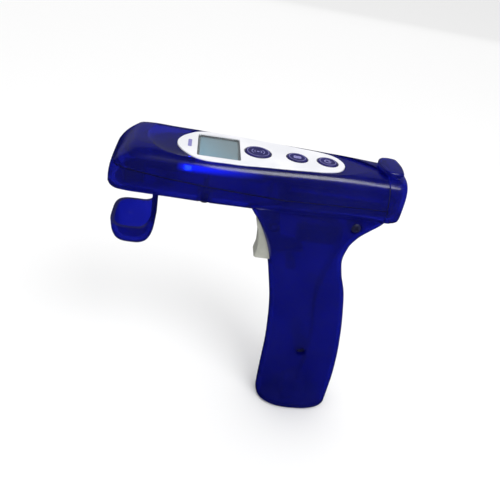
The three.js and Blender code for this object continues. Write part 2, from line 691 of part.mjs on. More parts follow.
const boardShape = new THREE.Shape(
  [
    [BOARD_FRONT, -BOARD_WIDE_HALF],
    [BOARD_WIDE_REAR, -BOARD_WIDE_HALF],
    [BOARD_WIDE_REAR, -BOARD_HALF_WIDTH],
    [BOARD_REAR, -BOARD_HALF_WIDTH],
    [BOARD_REAR, BOARD_HALF_WIDTH],
    [BOARD_WIDE_REAR, BOARD_HALF_WIDTH],
    [BOARD_WIDE_REAR, BOARD_WIDE_HALF],
    [BOARD_FRONT, BOARD_WIDE_HALF],
  ].map(([x, y]) => new THREE.Vector2(x, y)),
);
const mainBoard = cut(
  planSolid(boardShape, BOARD_BOTTOM, BOARD_TOP),
  ...boardScrewPlaces.map(({ x, y }) => shankHole("z", 0, FAR, x, y)),
);
const CHIP_GAP = 0.1; // solder between a chip and its board
function chipUnder(length, width, height, x, y) {
  return box(length, width, height, x, y, BOARD_BOTTOM - CHIP_GAP - height / 2);
}
const LED_SETBACK = 6;
const ledPlace = { x: PANEL_FRONT + LED_SETBACK, y: -BOARD_WIDE_HALF + LED_RADIUS + 0.2 };
const LED_HEIGHT = CEILING_Z - BOARD_TOP - CHIP_GAP - SLIDE_GAP;
const statusLed = toSolid(
  new THREE.LatheGeometry(
    [
      [0, 0],
      [LED_RADIUS, 0],
      [LED_RADIUS, LED_HEIGHT * 0.48],
      [LED_RADIUS * 0.7, LED_HEIGHT * 0.84],
      [0, LED_HEIGHT],
    ].map(([r, z]) => new THREE.Vector2(r, z)),
    16,
  ).rotateX(Math.PI / 2),
);

// ---- Batteries ----
const CELL_Z = FACE_Z - CELL_BELOW_FACE;
const CELL_Y = CELL_RADIUS + 0.4;
const CELL_REAR = REAR_X - 9;
const CELL_FRONT = CELL_REAR - CELL_LENGTH;
const NIPPLE = 0.8; // raised end of a cell
// A cell along X, raised end towards +X.
const cell = toSolid(
  new THREE.LatheGeometry(
    [
      [0, 0],
      [CELL_RADIUS - 0.4, 0],
      [CELL_RADIUS, 0.4],
      [CELL_RADIUS, CELL_LENGTH - NIPPLE - 0.4],
      [CELL_RADIUS - 0.4, CELL_LENGTH - NIPPLE],
      [1.9, CELL_LENGTH - NIPPLE],
      [1.9, CELL_LENGTH],
      [0, CELL_LENGTH],
    ].map(([r, z]) => new THREE.Vector2(r, z)),
    24,
  ).rotateZ(-Math.PI / 2),
);
const CARRIER_FRONT = CELL_FRONT - 2 * SEAT_GAP - CONTACT_THICKNESS - CARRIER_WALL - SEAT_GAP;
const CARRIER_REAR = CELL_REAR - 2;
const cellBore = (y) => rod("x", CELL_RADIUS + SEAT_GAP, CARRIER_FRONT + CARRIER_WALL, FAR, y, CELL_Z, 24);
const batteryCarrier = cut(
  toSolid(new LoftGeometry(barrelRings(WALL + SEAT_GAP), capped)).intersect(
    span([CARRIER_FRONT, CARRIER_REAR], [-FAR, FAR], [0, CELL_Z + 2.6]),
  ),
  cellBore(-CELL_Y),
  cellBore(CELL_Y),
  span([CARRIER_FRONT + CARRIER_WALL, FAR], [-CELL_Y, CELL_Y], [CELL_Z, FACE_Z]),
  span([CARRIER_FRONT + CARRIER_WALL, CELL_FRONT], [-CELL_Y, CELL_Y], [CELL_Z - 3.3, FACE_Z]),
);
const frontContact = box(
  CONTACT_THICKNESS,
  2 * CELL_Y + 4,
  6,
  CARRIER_FRONT + CARRIER_WALL + SEAT_GAP + CONTACT_THICKNESS / 2,
  0,
  CELL_Z,
);

// ---- Rear cover ----
const HINGE_X = REAR_X - 2.2;
const HINGE_Z = GRIP_HEIGHT + 2.4;
const LUG_RADIUS = 1.6;
// Sides of a lug across the width, with a gap all round.
const lugSides = (side, gap) => [
  side * LUG_CENTRE - LUG_WIDTH / 2 - gap,
  side * LUG_CENTRE + LUG_WIDTH / 2 + gap,
];
const lugSlot = (side) =>
  span(
    [COVER_TOP_X - 5, REAR_X + 5],
    lugSides(side, SLIDE_GAP),
    [GRIP_HEIGHT - 5, HINGE_Z + LUG_RADIUS + SLIDE_GAP],
  );
const LUG_ROOT = 4; // how far a lug reaches into its grip shell
const lug = (side) =>
  join(
    rod("y", LUG_RADIUS, ...lugSides(side, 0), HINGE_X, HINGE_Z),
    span(
      [COVER_BOTTOM_X - LUG_ROOT, HINGE_X],
      lugSides(side, 0),
      [HINGE_Z - LUG_RADIUS, HINGE_Z + LUG_RADIUS],
    ),
  );
const hingeBore = rod("y", COVER_PIN_RADIUS + PIN_GAP, -FAR, FAR, HINGE_X, HINGE_Z);
const KNUCKLE_HALF = LUG_CENTRE - LUG_WIDTH / 2 - SLIDE_GAP;
const knuckle = join(
  rod("y", LUG_RADIUS, -KNUCKLE_HALF, KNUCKLE_HALF, HINGE_X, HINGE_Z),
  span(
    [HINGE_X - COVER_PIN_RADIUS * 0.8, REAR_X - WALL * 0.3],
    [-KNUCKLE_HALF, KNUCKLE_HALF],
    [GRIP_HEIGHT + WALL * 0.65, HINGE_Z + LUG_RADIUS],
  ),
);

// Thumb tab: a plan outline with a round front edge that hangs over the upper shell.
const TAB_REAR = REAR_X - 2.2;
const TAB_FRONT = TAB_REAR - TAB_LENGTH;
const TAB_UNDER = 1.2; // above the panel's face
const TAB_EDGE = 0.9; // rounding of its edges
const TAB_CORNER = 3; // rounding of its rear corners in plan
const TAB_ROUND = 4.6; // length of its round front edge
const tabOutline = new THREE.Shape();
tabOutline.moveTo(TAB_REAR - TAB_CORNER, -TAB_HALF_WIDTH);
tabOutline.quadraticCurveTo(TAB_REAR, -TAB_HALF_WIDTH, TAB_REAR, TAB_CORNER - TAB_HALF_WIDTH);
tabOutline.lineTo(TAB_REAR, TAB_HALF_WIDTH - TAB_CORNER);
tabOutline.quadraticCurveTo(TAB_REAR, TAB_HALF_WIDTH, TAB_REAR - TAB_CORNER, TAB_HALF_WIDTH);
tabOutline.lineTo(TAB_FRONT + TAB_ROUND, TAB_HALF_WIDTH);
tabOutline.bezierCurveTo(
  TAB_FRONT + 1,
  TAB_HALF_WIDTH * 0.95,
  TAB_FRONT,
  TAB_HALF_WIDTH * 0.4,
  TAB_FRONT,
  0,
);
tabOutline.bezierCurveTo(
  TAB_FRONT,
  TAB_HALF_WIDTH * -0.4,
  TAB_FRONT + 1,
  TAB_HALF_WIDTH * -0.95,
  TAB_FRONT + TAB_ROUND,
  -TAB_HALF_WIDTH,
);
const thumbTab = toSolid(
  new THREE.ExtrudeGeometry(tabOutline, {
    depth: TAB_HEIGHT - TAB_UNDER - 2 * TAB_EDGE,
    bevelSize: TAB_EDGE,
    bevelOffset: -TAB_EDGE,
    bevelThickness: TAB_EDGE,
    bevelSegments: 2,
    curveSegments: 6,
  }).translate(0, 0, FACE_Z + TAB_UNDER + TAB_EDGE),
);
const tabRoot = span(
  [COVER_TOP_X + 2, TAB_REAR - 1.4],
  [-TAB_HALF_WIDTH + 1.4, TAB_HALF_WIDTH - 1.4],
  [FACE_Z - 2.5, FACE_Z + TAB_UNDER + TAB_EDGE],
);
// The cover's lower front corner is rounded about its pin, so that it swings clear of the grip.
const planeX = heightOn(coverPlane.map(([x, z]) => [z, x]).toReversed(), HINGE_Z);
const heel = rod("y", HINGE_X - planeX - SEAM_GAP, -FAR, FAR, HINGE_X, HINGE_Z, 32);
const heelCut = cut(span([0, HINGE_X], [-FAR, FAR], [0, HINGE_Z]), heel);
const behindCover = cut(box(3 * FAR, 3 * FAR, 3 * FAR, 0, 0, 0), beforeCover(HALF_GAP), heelCut);
const rearCover = cut(
  join(cut(barrelForm, barrelHollow).intersect(behindCover), knuckle, thumbTab, tabRoot),
  hingeBore,
  lugSlot(-1),
  lugSlot(1),
);
const COVER_PIN_HALF = LUG_CENTRE + LUG_WIDTH / 2 + 0.4;
const coverPin = rod("y", COVER_PIN_RADIUS, -COVER_PIN_HALF, COVER_PIN_HALF, 0, 0);

// Contact plate inside the cover, with a cone for each cell.
const PLATE_X = REAR_X - WALL - SEAT_GAP - CONTACT_THICKNESS;
const CONE_LENGTH = PLATE_X - CELL_REAR - SEAT_GAP;
const contactCone = (y) => {
  const cone = new THREE.CylinderGeometry(2.6, 1.2, CONE_LENGTH + 0.2, 12);
  return toSolid(cone.rotateZ(-Math.PI / 2).translate(-CONE_LENGTH / 2 + 0.1, y, 0));
};
const coverContact = join(
  box(CONTACT_THICKNESS, 2 * CELL_Y + 6, 7, CONTACT_THICKNESS / 2, 0, 0),
  contactCone(-CELL_Y),
  contactCone(CELL_Y),
);

// ---- Tray under the nose ----
const TRAY_FRONT = NOSE_X + 0.4;
const TRAY_REAR = TRAY_FRONT + TRAY_LENGTH;
const TRAY_X = (TRAY_FRONT + TRAY_REAR) / 2;
const RIM_Z = GRIP_HEIGHT - TRAY_DROP;
const TRAY_SQUARENESS = 3.6;
const TRAY_STEPS = 24;

// Each row: share of the depth below the rim, and how far the wall is drawn in.
const trayRows = [
  [1, 6],
  [0.93, 3.6],
  [0.72, 1.6],
  [0.4, 0.5],
  [0, 0],
];
function trayForm(inset, lift) {
  const rings = trayRows.map(([share, drawnIn]) => {
    const [halfX, halfY] = [TRAY_LENGTH / 2 - drawnIn - inset, TRAY_HALF_WIDTH - drawnIn - inset];
    const z = RIM_Z - (TRAY_DEPTH - inset) * share + (share === 0 ? lift : 0);
    return roundRing(halfX, [halfY, halfY], TRAY_STEPS, TRAY_SQUARENESS).map(
      ([x, y]) => new THREE.Vector3(TRAY_X + x, y, z),
    );
  });
  return toSolid(new LoftGeometry(rings, capped));
}
const STEM_REAR = TRAY_REAR + 0.2;
const STEM_FRONT = STEM_REAR - STEM_THICKNESS;
const FOOT_Z = FLOOR_Z + NOSE_RISE + 0.9; // clear of the floor, which rises at its sides
const FOOT_THICKNESS = 1.6;
const FOOT_LENGTH = 7;
const FOOT_HALF_WIDTH = STEM_HALF_WIDTH - 3.5;
const stemWidth = [-STEM_HALF_WIDTH, STEM_HALF_WIDTH];
const footWidth = [-FOOT_HALF_WIDTH, FOOT_HALF_WIDTH];
const stemPlate = span([STEM_FRONT, STEM_REAR], stemWidth, [RIM_Z - 2.5, FOOT_Z + FOOT_THICKNESS]);
const stemFoot = span([STEM_FRONT, STEM_REAR + FOOT_LENGTH], footWidth, [FOOT_Z, FOOT_Z + FOOT_THICKNESS]);
const TRAY_SCREW_LENGTH = 4;
const TRAY_SCREW_X = STEM_REAR + FOOT_LENGTH / 2 + 0.6;
const trayScrewPlaces = [
  { name: "tray_screw_left", y: 2.8 - FOOT_HALF_WIDTH },
  { name: "tray_screw_right", y: FOOT_HALF_WIDTH - 2.8 },
];
const TRAY_PILOT_FLOOR = 0.5; // left under the tray's screws
const trayScrewHoles = trayScrewPlaces.map(({ y }) =>
  shankHole("z", GRIP_HEIGHT + NOSE_RISE + TRAY_PILOT_FLOOR, FACE_Z, TRAY_SCREW_X, y),
);
const readingTray = cut(
  join(cut(trayForm(0, 0), trayForm(TRAY_WALL, 3)), stemPlate, stemFoot),
  ...trayScrewHoles,
);
const stemSlot = span(
  [STEM_FRONT - SEAT_GAP, STEM_REAR + SEAT_GAP],
  [-STEM_HALF_WIDTH - SEAT_GAP, STEM_HALF_WIDTH + SEAT_GAP],
  [GRIP_HEIGHT - 3, FLOOR_Z + 4],
);

// ---- Port in the base ----
const MOUTH_WIDTH = PORT_WIDTH - 2 * PORT_WALL;
const MOUTH_DEPTH = PORT_DEPTH - 2 * PORT_WALL;
const PORT_Z = WALL + SEAT_GAP;
const portSocket = cut(
  box(PORT_WIDTH, PORT_DEPTH, PORT_HEIGHT, 0, 0, PORT_HEIGHT / 2),
  box(MOUTH_WIDTH, MOUTH_DEPTH, PORT_HEIGHT, 0, 0, PORT_HEIGHT / 2 - 1.5),
);
const portMouth = box(MOUTH_WIDTH, MOUTH_DEPTH, 3 * WALL, 0, 0, WALL);

// ---- Shells ----
const hollowShell = cut(barrelForm, barrelHollow);
const boardPillars = boardScrewPlaces.map(({ x, y }) =>
  rod("z", 2.2, BOARD_TOP + SEAT_GAP, CEILING_Z + 0.5, x, y, 16),
);
const boardPilots = boardScrewPlaces.map(({ x, y }) => shankHole("z", 0, CEILING_Z - 0.2, x, y));
const pillarFoot = NOSE_SEAT_Z + 5;
const nosePillars = noseScrewPlaces.map(({ y }) =>
  rod("z", NOSE_PILLAR_RADIUS, pillarFoot, CEILING_Z + 1, NOSE_SCREW_X, y).intersect(barrelForm),
);
const nosePilots = noseScrewPlaces.map(({ y }) =>
  shankHole("z", 0, NOSE_HEAD_Z + NOSE_SCREW_LENGTH + 2.4, NOSE_SCREW_X, y),
);
const upperShell = cut(
  join(hollowShell.intersect(aboveSeam), ...nosePillars, ...boardPillars),
  dish,
  planSolid(borderOutline, FACE_Z - BORDER_DEPTH, FACE_Z + 9),
  planSolid(pocketOutline, POCKET_Z, FACE_Z + 9),
  displayHole(DISPLAY_ROOM, CEILING_Z - 3, FACE_Z),
  ...keys.map(({ x, radius }) =>
    rod("z", radius + KEY_FLANGE + SLIDE_GAP, CEILING_Z - 3, FACE_Z, x, 0, 24),
  ),
  ...boardPilots,
  ...nosePilots,
).intersect(beforeCover(-HALF_GAP));

const noseBosses = noseScrewPlaces.map(({ y }) => {
  const boss = rod("z", HEAD_BOSS_RADIUS, GRIP_HEIGHT - WALL, pillarFoot - SEAM_GAP, NOSE_SCREW_X, y, 20);
  return boss.intersect(barrelForm);
});
const lowerShell = cut(
  join(hollowShell.intersect(belowSeam), ...noseBosses),
  saddleRegion(HALF_GAP),
  stemSlot,
  ...noseScrewPlaces.map(({ y }) => headHole("z", 0, NOSE_SEAT_Z, NOSE_SCREW_X, y)),
  ...noseScrewPlaces.map(({ y }) => shankHole("z", 0, FACE_Z, NOSE_SCREW_X, y)),
  ...trayScrewHoles,
);

// The two grip halves share one form, parted on the middle plane.
const saddle = barrelForm.intersect(saddleRegion(-HALF_GAP)).intersect(belowSeam);
const gripBlank = join(
  cut(join(gripForm, saddle), gripHollow, barrelHollow),
  ...gripScrewPlaces.map(({ x, z }) => rod("y", HEAD_BOSS_RADIUS, -FAR, FAR, x, z, 20).intersect(gripForm)),
  ...[-1, 1].map((side) => {
    const [inner, outer] = [side * (TRIGGER_WIDTH / 2 + SLIDE_GAP), side * BARREL_HALF_WIDTH];
    const ends = inner < outer ? [inner, outer] : [outer, inner];
    return rod("y", TRIGGER_BOSS_RADIUS - 0.4, ...ends, PIVOT_X, PIVOT_Z).intersect(gripForm);
  }),
  rod("y", SPRING_POST_RADIUS, -FAR, FAR, SPRING_POST_X, SPRING_Z).intersect(gripForm),
);
const coverZone = cut(
  span([0, FAR], [-FAR, FAR], [GRIP_HEIGHT - SEAM_GAP, 2 * FAR]),
  beforeCover(-HALF_GAP),
);
const lowerShellZone = cut(
  barrelForm.intersect(belowSeam),
  saddleRegion(-HALF_GAP),
);
const upperShellZone = cut(barrelForm, belowSeam);
const PIN_BORE_HALF = TRIGGER_PIN_HALF + SEAT_GAP;
const triggerPinBore = rod(
  "y",
  TRIGGER_PIN_RADIUS + PIN_GAP,
  -PIN_BORE_HALF,
  PIN_BORE_HALF,
  PIVOT_X,
  PIVOT_Z,
);
const gripCommon = cut(
  gripBlank,
  triggerSlot,
  triggerPinBore,
  portMouth,
  coverZone,
  lowerShellZone,
  upperShellZone,
);
const MOUNT_POST_REACH = MICROSWITCH_WIDTH / 2 + 1;
const halfSpace = (side) => box(2 * FAR, FAR, 3 * FAR, 0, side * (FAR / 2 + HALF_GAP), 0);
const leftGrip = cut(
  join(gripCommon.intersect(halfSpace(-1)), lug(-1)),
  hingeBore,
  ...gripScrewPlaces.map(({ x, z }) => headHole("y", -FAR, GRIP_SEAT_Y, x, z)),
  ...gripScrewPlaces.map(({ x, z }) => shankHole("y", -FAR, FAR, x, z)),
);
const mountPosts = mountPlaces.map(([x, z]) =>
  join(
    rod("y", MOUNT_RADIUS, -MOUNT_POST_REACH, FAR, x, z, 12),
    rod("y", MOUNT_RADIUS + 1.2, MICROSWITCH_WIDTH / 2 + SEAT_GAP, FAR, x, z, 12),
  ).intersect(gripForm),
);
const rightGrip = cut(
  join(gripCommon.intersect(halfSpace(1)), lug(1), ...mountPosts),
  hingeBore,
  ...gripScrewPlaces.map(({ x, z }) =>
    shankHole("y", -FAR, GRIP_HEAD_Y + SCREW_HEAD_HEIGHT + GRIP_SCREW_LENGTH + 1, x, z),
  ),
);

// ---- Wires ----
const WIRE_SIDES = 6;
function wire(points) {
  const route = new THREE.CatmullRomCurve3(
    points.map((point) => new THREE.Vector3(...point)),
    false,
    "centripetal",
  );
  const options = { steps: 26, bevelEnabled: false, extrudePath: route };
  return toSolid(new THREE.ExtrudeGeometry(wireSection(WIRE_RADIUS, WIRE_SIDES), options));
}
// Up the grip behind the lower screw, past the switch, and up in front of the battery carrier.
const wireRoute = (y) => [
  [1.5, y, PORT_Z + PORT_HEIGHT + SEAT_GAP],
  [2, y, PORT_Z + PORT_HEIGHT + 6],
  [2.4, y, GRIP_HEIGHT * 0.366],
  [-2, y * 1.3, GRIP_HEIGHT * 0.62],
  [1.7, y * 1.6, MICROSWITCH_Z - 4],
  [2, y * 1.6, MICROSWITCH_Z + 3],
  [1.6, y * 1.6, MICROSWITCH_Z + MICROSWITCH_HEIGHT + 1.2],
  [-4.6, y * 1.6, MICROSWITCH_Z + MICROSWITCH_HEIGHT + 4.6],
  [PIVOT_X + 4, y * 1.6, GRIP_HEIGHT - 2.6],
  [CARRIER_FRONT - 4.2, y * 1.6, GRIP_HEIGHT + 1.5],
  [CARRIER_FRONT - 4.4, y * 1.6, BOARD_BOTTOM - SEAT_GAP],
];

// ---- Materials ----
const finish = (color, roughness, metalness = 0, extra = {}) =>
  new THREE.MeshStandardMaterial({ color, roughness, metalness, ...extra });
const seeThrough = { transparent: true, opacity: 0.85 };
const materials = {
  bluePlastic: finish(0x1a1690, 0.18, 0, seeThrough),
  whitePanel: finish(0xe9e9ea, 0.4),
  clearWindow: finish(0xb9d3dd, 0.05, 0, { transparent: true, opacity: 0.35 }),
  lcd: finish(0x86a5a8, 0.25),
  backlight: finish(0xdfe9ee, 0.5),
  keyPlastic: finish(0x2f2a7a, 0.35),
  blackPlastic: finish(0x202126, 0.5),
  board: finish(0x1d5a38, 0.45),
  triggerPlastic: finish(0xb9bab2, 0.45),
  steel: finish(0xb8bcc2, 0.3, 1),
  ferrite: finish(0x3a3a3e, 0.7),
  copper: finish(0xb86f3c, 0.35, 1),
  cellWrap: finish(0x5b6068, 0.35),
  led: finish(0x3fb8ff, 0.15),
  redWire: finish(0xb01c20, 0.5),
  blackWire: finish(0x1b1b1d, 0.5),
};

// ---- Assembly ----
const scanner = new THREE.Group();
const housing = new THREE.Group();
const electronics = new THREE.Group();
const triggerGroup = new THREE.Group();
const coverGroup = new THREE.Group();
scanner.add(housing, electronics, triggerGroup, coverGroup);

function add(parent, name, solid, material, position = [0, 0, 0], rotation = [0, 0, 0]) {
  const mesh = new THREE.Mesh(toGeometry(solid), material);
  mesh.name = name;
  mesh.position.set(...position);
  mesh.rotation.set(...rotation);
  parent.add(mesh);
}

add(housing, "upper_shell", upperShell, materials.bluePlastic);
add(housing, "lower_shell", lowerShell, materials.bluePlastic);
add(housing, "left_grip_shell", leftGrip, materials.bluePlastic);
add(housing, "right_grip_shell", rightGrip, materials.bluePlastic);
add(housing, "reading_tray", readingTray, materials.bluePlastic);
add(housing, "control_panel", controlPanel, materials.whitePanel);
add(housing, "display_window", displayWindow, materials.clearWindow);
for (const { name, x, z } of gripScrewPlaces) {
  add(housing, name, screw(GRIP_SCREW_LENGTH), materials.steel, [x, GRIP_HEAD_Y, z], [-Math.PI / 2, 0, 0]);
}
for (const { name, y } of noseScrewPlaces) {
  add(housing, name, screw(NOSE_SCREW_LENGTH), materials.steel, [NOSE_SCREW_X, y, NOSE_HEAD_Z]);
}
for (const { name, y } of trayScrewPlaces) {
  const head = FOOT_Z + FOOT_THICKNESS + SCREW_HEAD_HEIGHT + SEAT_GAP;
  const length = head - SCREW_HEAD_HEIGHT - GRIP_HEIGHT - NOSE_RISE - 0.8;
  add(housing, name, screw(length), materials.steel, [TRAY_SCREW_X, y, head], [Math.PI, 0, 0]);
}

add(electronics, "lcd_glass", lcdGlass, materials.lcd);
add(electronics, "lcd_backlight", lcdBacklight, materials.backlight);
for (const { name, x, radius } of keys) {
  add(electronics, `${name}_key`, keySolid(radius), materials.keyPlastic, [x, 0, FACE_Z]);
  const body = box(SWITCH_SIZE, SWITCH_SIZE, SWITCH_HEIGHT - CHIP_GAP, 0, 0, (SWITCH_HEIGHT + CHIP_GAP) / 2);
  add(electronics, `${name}_key_switch`, body, materials.blackPlastic, [x, 0, BOARD_TOP]);
}
add(electronics, "main_board", mainBoard, materials.board);
add(electronics, "controller_chip", chipUnder(12, 12, 1.5, DISPLAY_X + 2, 0), materials.blackPlastic);
add(electronics, "reader_chip", chipUnder(9, 7, 1.6, PANEL_FRONT + 1, 4), materials.blackPlastic);
const beeper = rod("z", BEEPER_RADIUS, -BEEPER_HEIGHT, 0, 0, 0, 24);
add(electronics, "beeper", beeper, materials.blackPlastic, [READ_KEY_X, -3, BOARD_BOTTOM - CHIP_GAP]);
add(electronics, "status_led", statusLed, materials.led, [ledPlace.x, ledPlace.y, BOARD_TOP + CHIP_GAP]);
for (const { name, x, y } of boardScrewPlaces) {
  const head = BOARD_BOTTOM - SEAT_GAP - SCREW_HEAD_HEIGHT;
  add(electronics, name, screw(BOARD_SCREW_LENGTH), materials.steel, [x, y, head]);
}
add(electronics, "antenna_former", antennaFormer, materials.blackPlastic);
add(electronics, "antenna_coil", antennaCoil, materials.copper);
add(electronics, "antenna_ferrite", antennaFerrite, materials.ferrite);
add(electronics, "battery_carrier", batteryCarrier, materials.blackPlastic);
add(electronics, "front_contact", frontContact, materials.steel);
add(electronics, "battery_left", cell, materials.cellWrap, [CELL_FRONT, -CELL_Y, CELL_Z]);
const turnedCell = [CELL_REAR, CELL_Y, CELL_Z];
add(electronics, "battery_right", cell, materials.cellWrap, turnedCell, [0, 0, Math.PI]);
add(electronics, "port_socket", portSocket, materials.steel, [0, 0, PORT_Z]);
add(electronics, "red_wire", wire(wireRoute(-1.4)), materials.redWire);
add(electronics, "black_wire", wire(wireRoute(1.4)), materials.blackWire);

add(triggerGroup, "trigger", trigger, materials.triggerPlastic);
add(triggerGroup, "trigger_pin", triggerPin, materials.steel, [PIVOT_X, 0, PIVOT_Z]);
add(triggerGroup, "trigger_spring", springCoil, materials.steel, [SPRING_START_X, 0, SPRING_Z]);
add(triggerGroup, "trigger_switch", triggerSwitch, materials.blackPlastic);
add(triggerGroup, "switch_plunger", plunger, materials.redWire, [PLUNGER_X, 0, MICROSWITCH_Z]);

add(coverGroup, "rear_cover", rearCover, materials.bluePlastic);
add(coverGroup, "cover_hinge_pin", coverPin, materials.steel, [HINGE_X, 0, HINGE_Z]);
add(coverGroup, "cover_contact", coverContact, materials.steel, [PLATE_X, 0, CELL_Z]);

export default scanner;
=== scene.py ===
"""Visible shells, keys, tray, finishes and stage of a hand-held microchip scanner."""
import math

import bmesh
import bpy
from mathutils import Matrix, Vector


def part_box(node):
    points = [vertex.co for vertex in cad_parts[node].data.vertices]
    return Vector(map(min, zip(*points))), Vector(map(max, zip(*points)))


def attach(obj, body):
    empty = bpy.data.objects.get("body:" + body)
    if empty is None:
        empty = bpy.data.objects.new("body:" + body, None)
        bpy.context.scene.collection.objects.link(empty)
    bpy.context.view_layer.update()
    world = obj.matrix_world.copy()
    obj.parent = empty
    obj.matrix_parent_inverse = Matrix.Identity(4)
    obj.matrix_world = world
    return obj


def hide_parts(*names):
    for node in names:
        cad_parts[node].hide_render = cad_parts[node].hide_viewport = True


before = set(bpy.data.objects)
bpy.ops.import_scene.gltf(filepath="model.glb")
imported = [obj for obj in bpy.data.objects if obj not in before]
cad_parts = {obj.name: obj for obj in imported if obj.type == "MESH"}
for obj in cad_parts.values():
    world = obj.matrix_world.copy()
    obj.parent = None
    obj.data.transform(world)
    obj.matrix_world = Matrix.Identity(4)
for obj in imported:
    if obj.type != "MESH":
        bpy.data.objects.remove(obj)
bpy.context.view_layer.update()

bl_info = {
    "name": "Microchip Scanner",
    "version": (1, 0, 0),
    "blender": (4, 5, 0),
    "location": "View3D > Sidebar > Scanner",
    "description": "Shells, keys, tray and finishes of a hand-held microchip scanner",
    "category": "Object",
}

MM = 0.001
X, Y, Z = range(3)
FAR = 300


# ---- Sizes, in millimetres, read from the frame ----
def low(node, axis):
    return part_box(node)[0][axis] / MM


def high(node, axis):
    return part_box(node)[1][axis] / MM


def middle(node, axis):
    return (low(node, axis) + high(node, axis)) / 2


NOSE_X = low("lower_shell", X)
REAR_X = high("rear_cover", X)
BARREL_LENGTH = REAR_X - NOSE_X
BARREL_HALF = high("upper_shell", Y)
FACE_Z = high("control_panel", Z)
UNDER_Z = FACE_Z - 24
BASE_Z = low("left_grip_shell", Z)
PANEL_FRONT = low("control_panel", X)
PANEL_REAR = high("control_panel", X)
PANEL_HALF = BARREL_HALF - 3.8
PANEL_UNDER = low("control_panel", Z)
WALL = 2
SEAM = 0.5
SEAT = 0.3
SLIDE = 0.4
# Dark strips of painted shade in the joints: depth below the surface, thickness and fit.
STRIP_DEPTH = 0.3
STRIP_THICK = 0.8
STRIP_FIT = 0.02
POCKET_Z = PANEL_UNDER - SEAT
CEILING_Z = POCKET_Z - WALL + SEAT
BORDER_DEPTH = 0.4
PIVOT_X = middle("trigger_pin", X)
PIVOT_Z = middle("trigger_pin", Z)
HINGE_X = middle("cover_hinge_pin", X)
HINGE_Z = middle("cover_hinge_pin", Z)
PIN_BORE_RADIUS = 1.1
AXLE_BORE_RADIUS = 1.35
HINGE_RADIUS = 1.6
LUG_MIDDLE = 7
LUG_HALF = 1.5
BOSS_RADIUS = 3.6
HEAD_RECESS_RADIUS = 2.7
SHANK_RADIUS = 1.5
HEAD_SEAT = 1.9
BOSS_REACH = 19
SCREW_HOLE_DEPTH = 16.6
TRAY_FRONT = low("reading_tray", X)
TRAY_HALF = high("reading_tray", Y)
TRAY_LENGTH = 21
TRAY_WALL = 1.8
TRAY_FLOOR = low("reading_tray", Z)
RIM_Z = UNDER_Z - 16
TRAY_STEM_HALF = 12
KEY_NAMES = ("read", "menu", "power")
KEY_FLANGE = 0.9
DISPLAY_LENGTH = 19.5
DISPLAY_WIDTH = 24
TAB_HALF = 8.8
GRIP_SQUARENESS = 2.5
TRAY_SQUARENESS = 3.6
UNDERSIDE_SQUARENESS = 3

# Fineness of the lofted forms: points round a ring, and the gap between rings.
RING_POINTS = 96
BARREL_STEP = 1.6
GRIP_STEP = 0.014
TRAY_STEP = 0.05
SHARP_DEGREES = 32
CORNER_STEPS = 6

# Parting line between the upper and lower shells, as (x, height).
seam_line = [
    (NOSE_X - 1, FACE_Z - 6.1),
    (NOSE_X + 24, FACE_Z - 9.4),
    (-33, FACE_Z - 13.8),
    (REAR_X + 1, FACE_Z - 14.2),
]
# Barrel: distance from the nose, share of the half width, top above the panel's face, rise of the
# underside, squareness of the upper corners, drop of the widest line below the parting line.
NOSE_RISE = 0.9
nose_rows = [
    (0, 0.78, -9.5, NOSE_RISE + 5, 3.2, 9),
    (0.9, 0.88, -7, NOSE_RISE + 2.9, 3.2, 7),
    (3.4, 0.96, -3.6, NOSE_RISE + 1, 3.2, 4),
    (7, 0.99, -0.4, NOSE_RISE + 0.3, 3.2, 1.5),
    (11, 1, 2.1, NOSE_RISE, 3.2, 0.4),
    (18, 1, 2.6, NOSE_RISE, 3.2, 0),
    (26, 1, 2, NOSE_RISE, 3.6, 0),
]
# The same behind the nose, placed by the share of the length that is left.
body_rows = [
    (0.14, 1, 1.4, 0.7, 4.2, 0),
    (0.32, 0.95, 1.2, 0.5, 4.2, 0),
    (0.52, 0.865, 1.2, 0, 4.2, 0),
    (0.73, 0.77, 1, 0, 4, 0),
    (0.88, 0.72, 0.6, 0, 3.6, 0),
    (0.975, 0.69, 0.3, 0, 3.4, 0),
    (1, 0.65, -0.6, 1, 3.4, 0),
]
NOSE_PLATEAU = 1.9
# Grip: share of its height, front edge, rear edge, half width.
grip_rows = [
    (0, -19.8, 20.4, 13),
    (0.012, -21.2, 21.6, 14.2),
    (0.14, -21.9, 21.6, 14.5),
    (0.28, -22.3, 20.6, 14.3),
    (0.43, -23.8, 18.1, 14),
    (0.535, -25.6, 15.6, 13.7),
    (0.635, -28.3, 12.6, 13.4),
    (0.725, -31.1, 8.3, 13.2),
    (0.805, -34, 6.1, 13.2),
    (0.868, -37.4, 7.4, 13.4),
    (0.92, -41, 11.2, 13.7),
    (0.965, -45, 17.6, 13.7),
    (0.985, -47, 20.7, 13.6),
    (1, -48.8, 21.8, 13.3),
    (1.055, -46, 20, 10.4),
]
# Leaf outlines down one side: share of the length, share of the half width.
panel_leaf = [
    (0, 0), (0.012, 0.3), (0.06, 0.66), (0.13, 0.93), (0.28, 0.98), (0.53, 0.88),
    (0.77, 0.74), (0.88, 0.65), (0.95, 0.5), (0.988, 0.25), (1, 0),
]
border_leaf = [
    (0, 0), (0.012, 0.3), (0.06, 0.64), (0.13, 0.93), (0.27, 1), (0.46, 0.935),
    (0.64, 0.8), (0.79, 0.65), (0.88, 0.5), (0.95, 0.28), (1, 0),
]
PANEL_MARGIN = 2
BORDER_TAIL = 15.7
# Tray: share of the depth below the rim, and how far the wall is drawn in.
tray_rows = [(1, 6), (0.93, 3.6), (0.72, 1.6), (0.4, 0.5), (0, 0)]


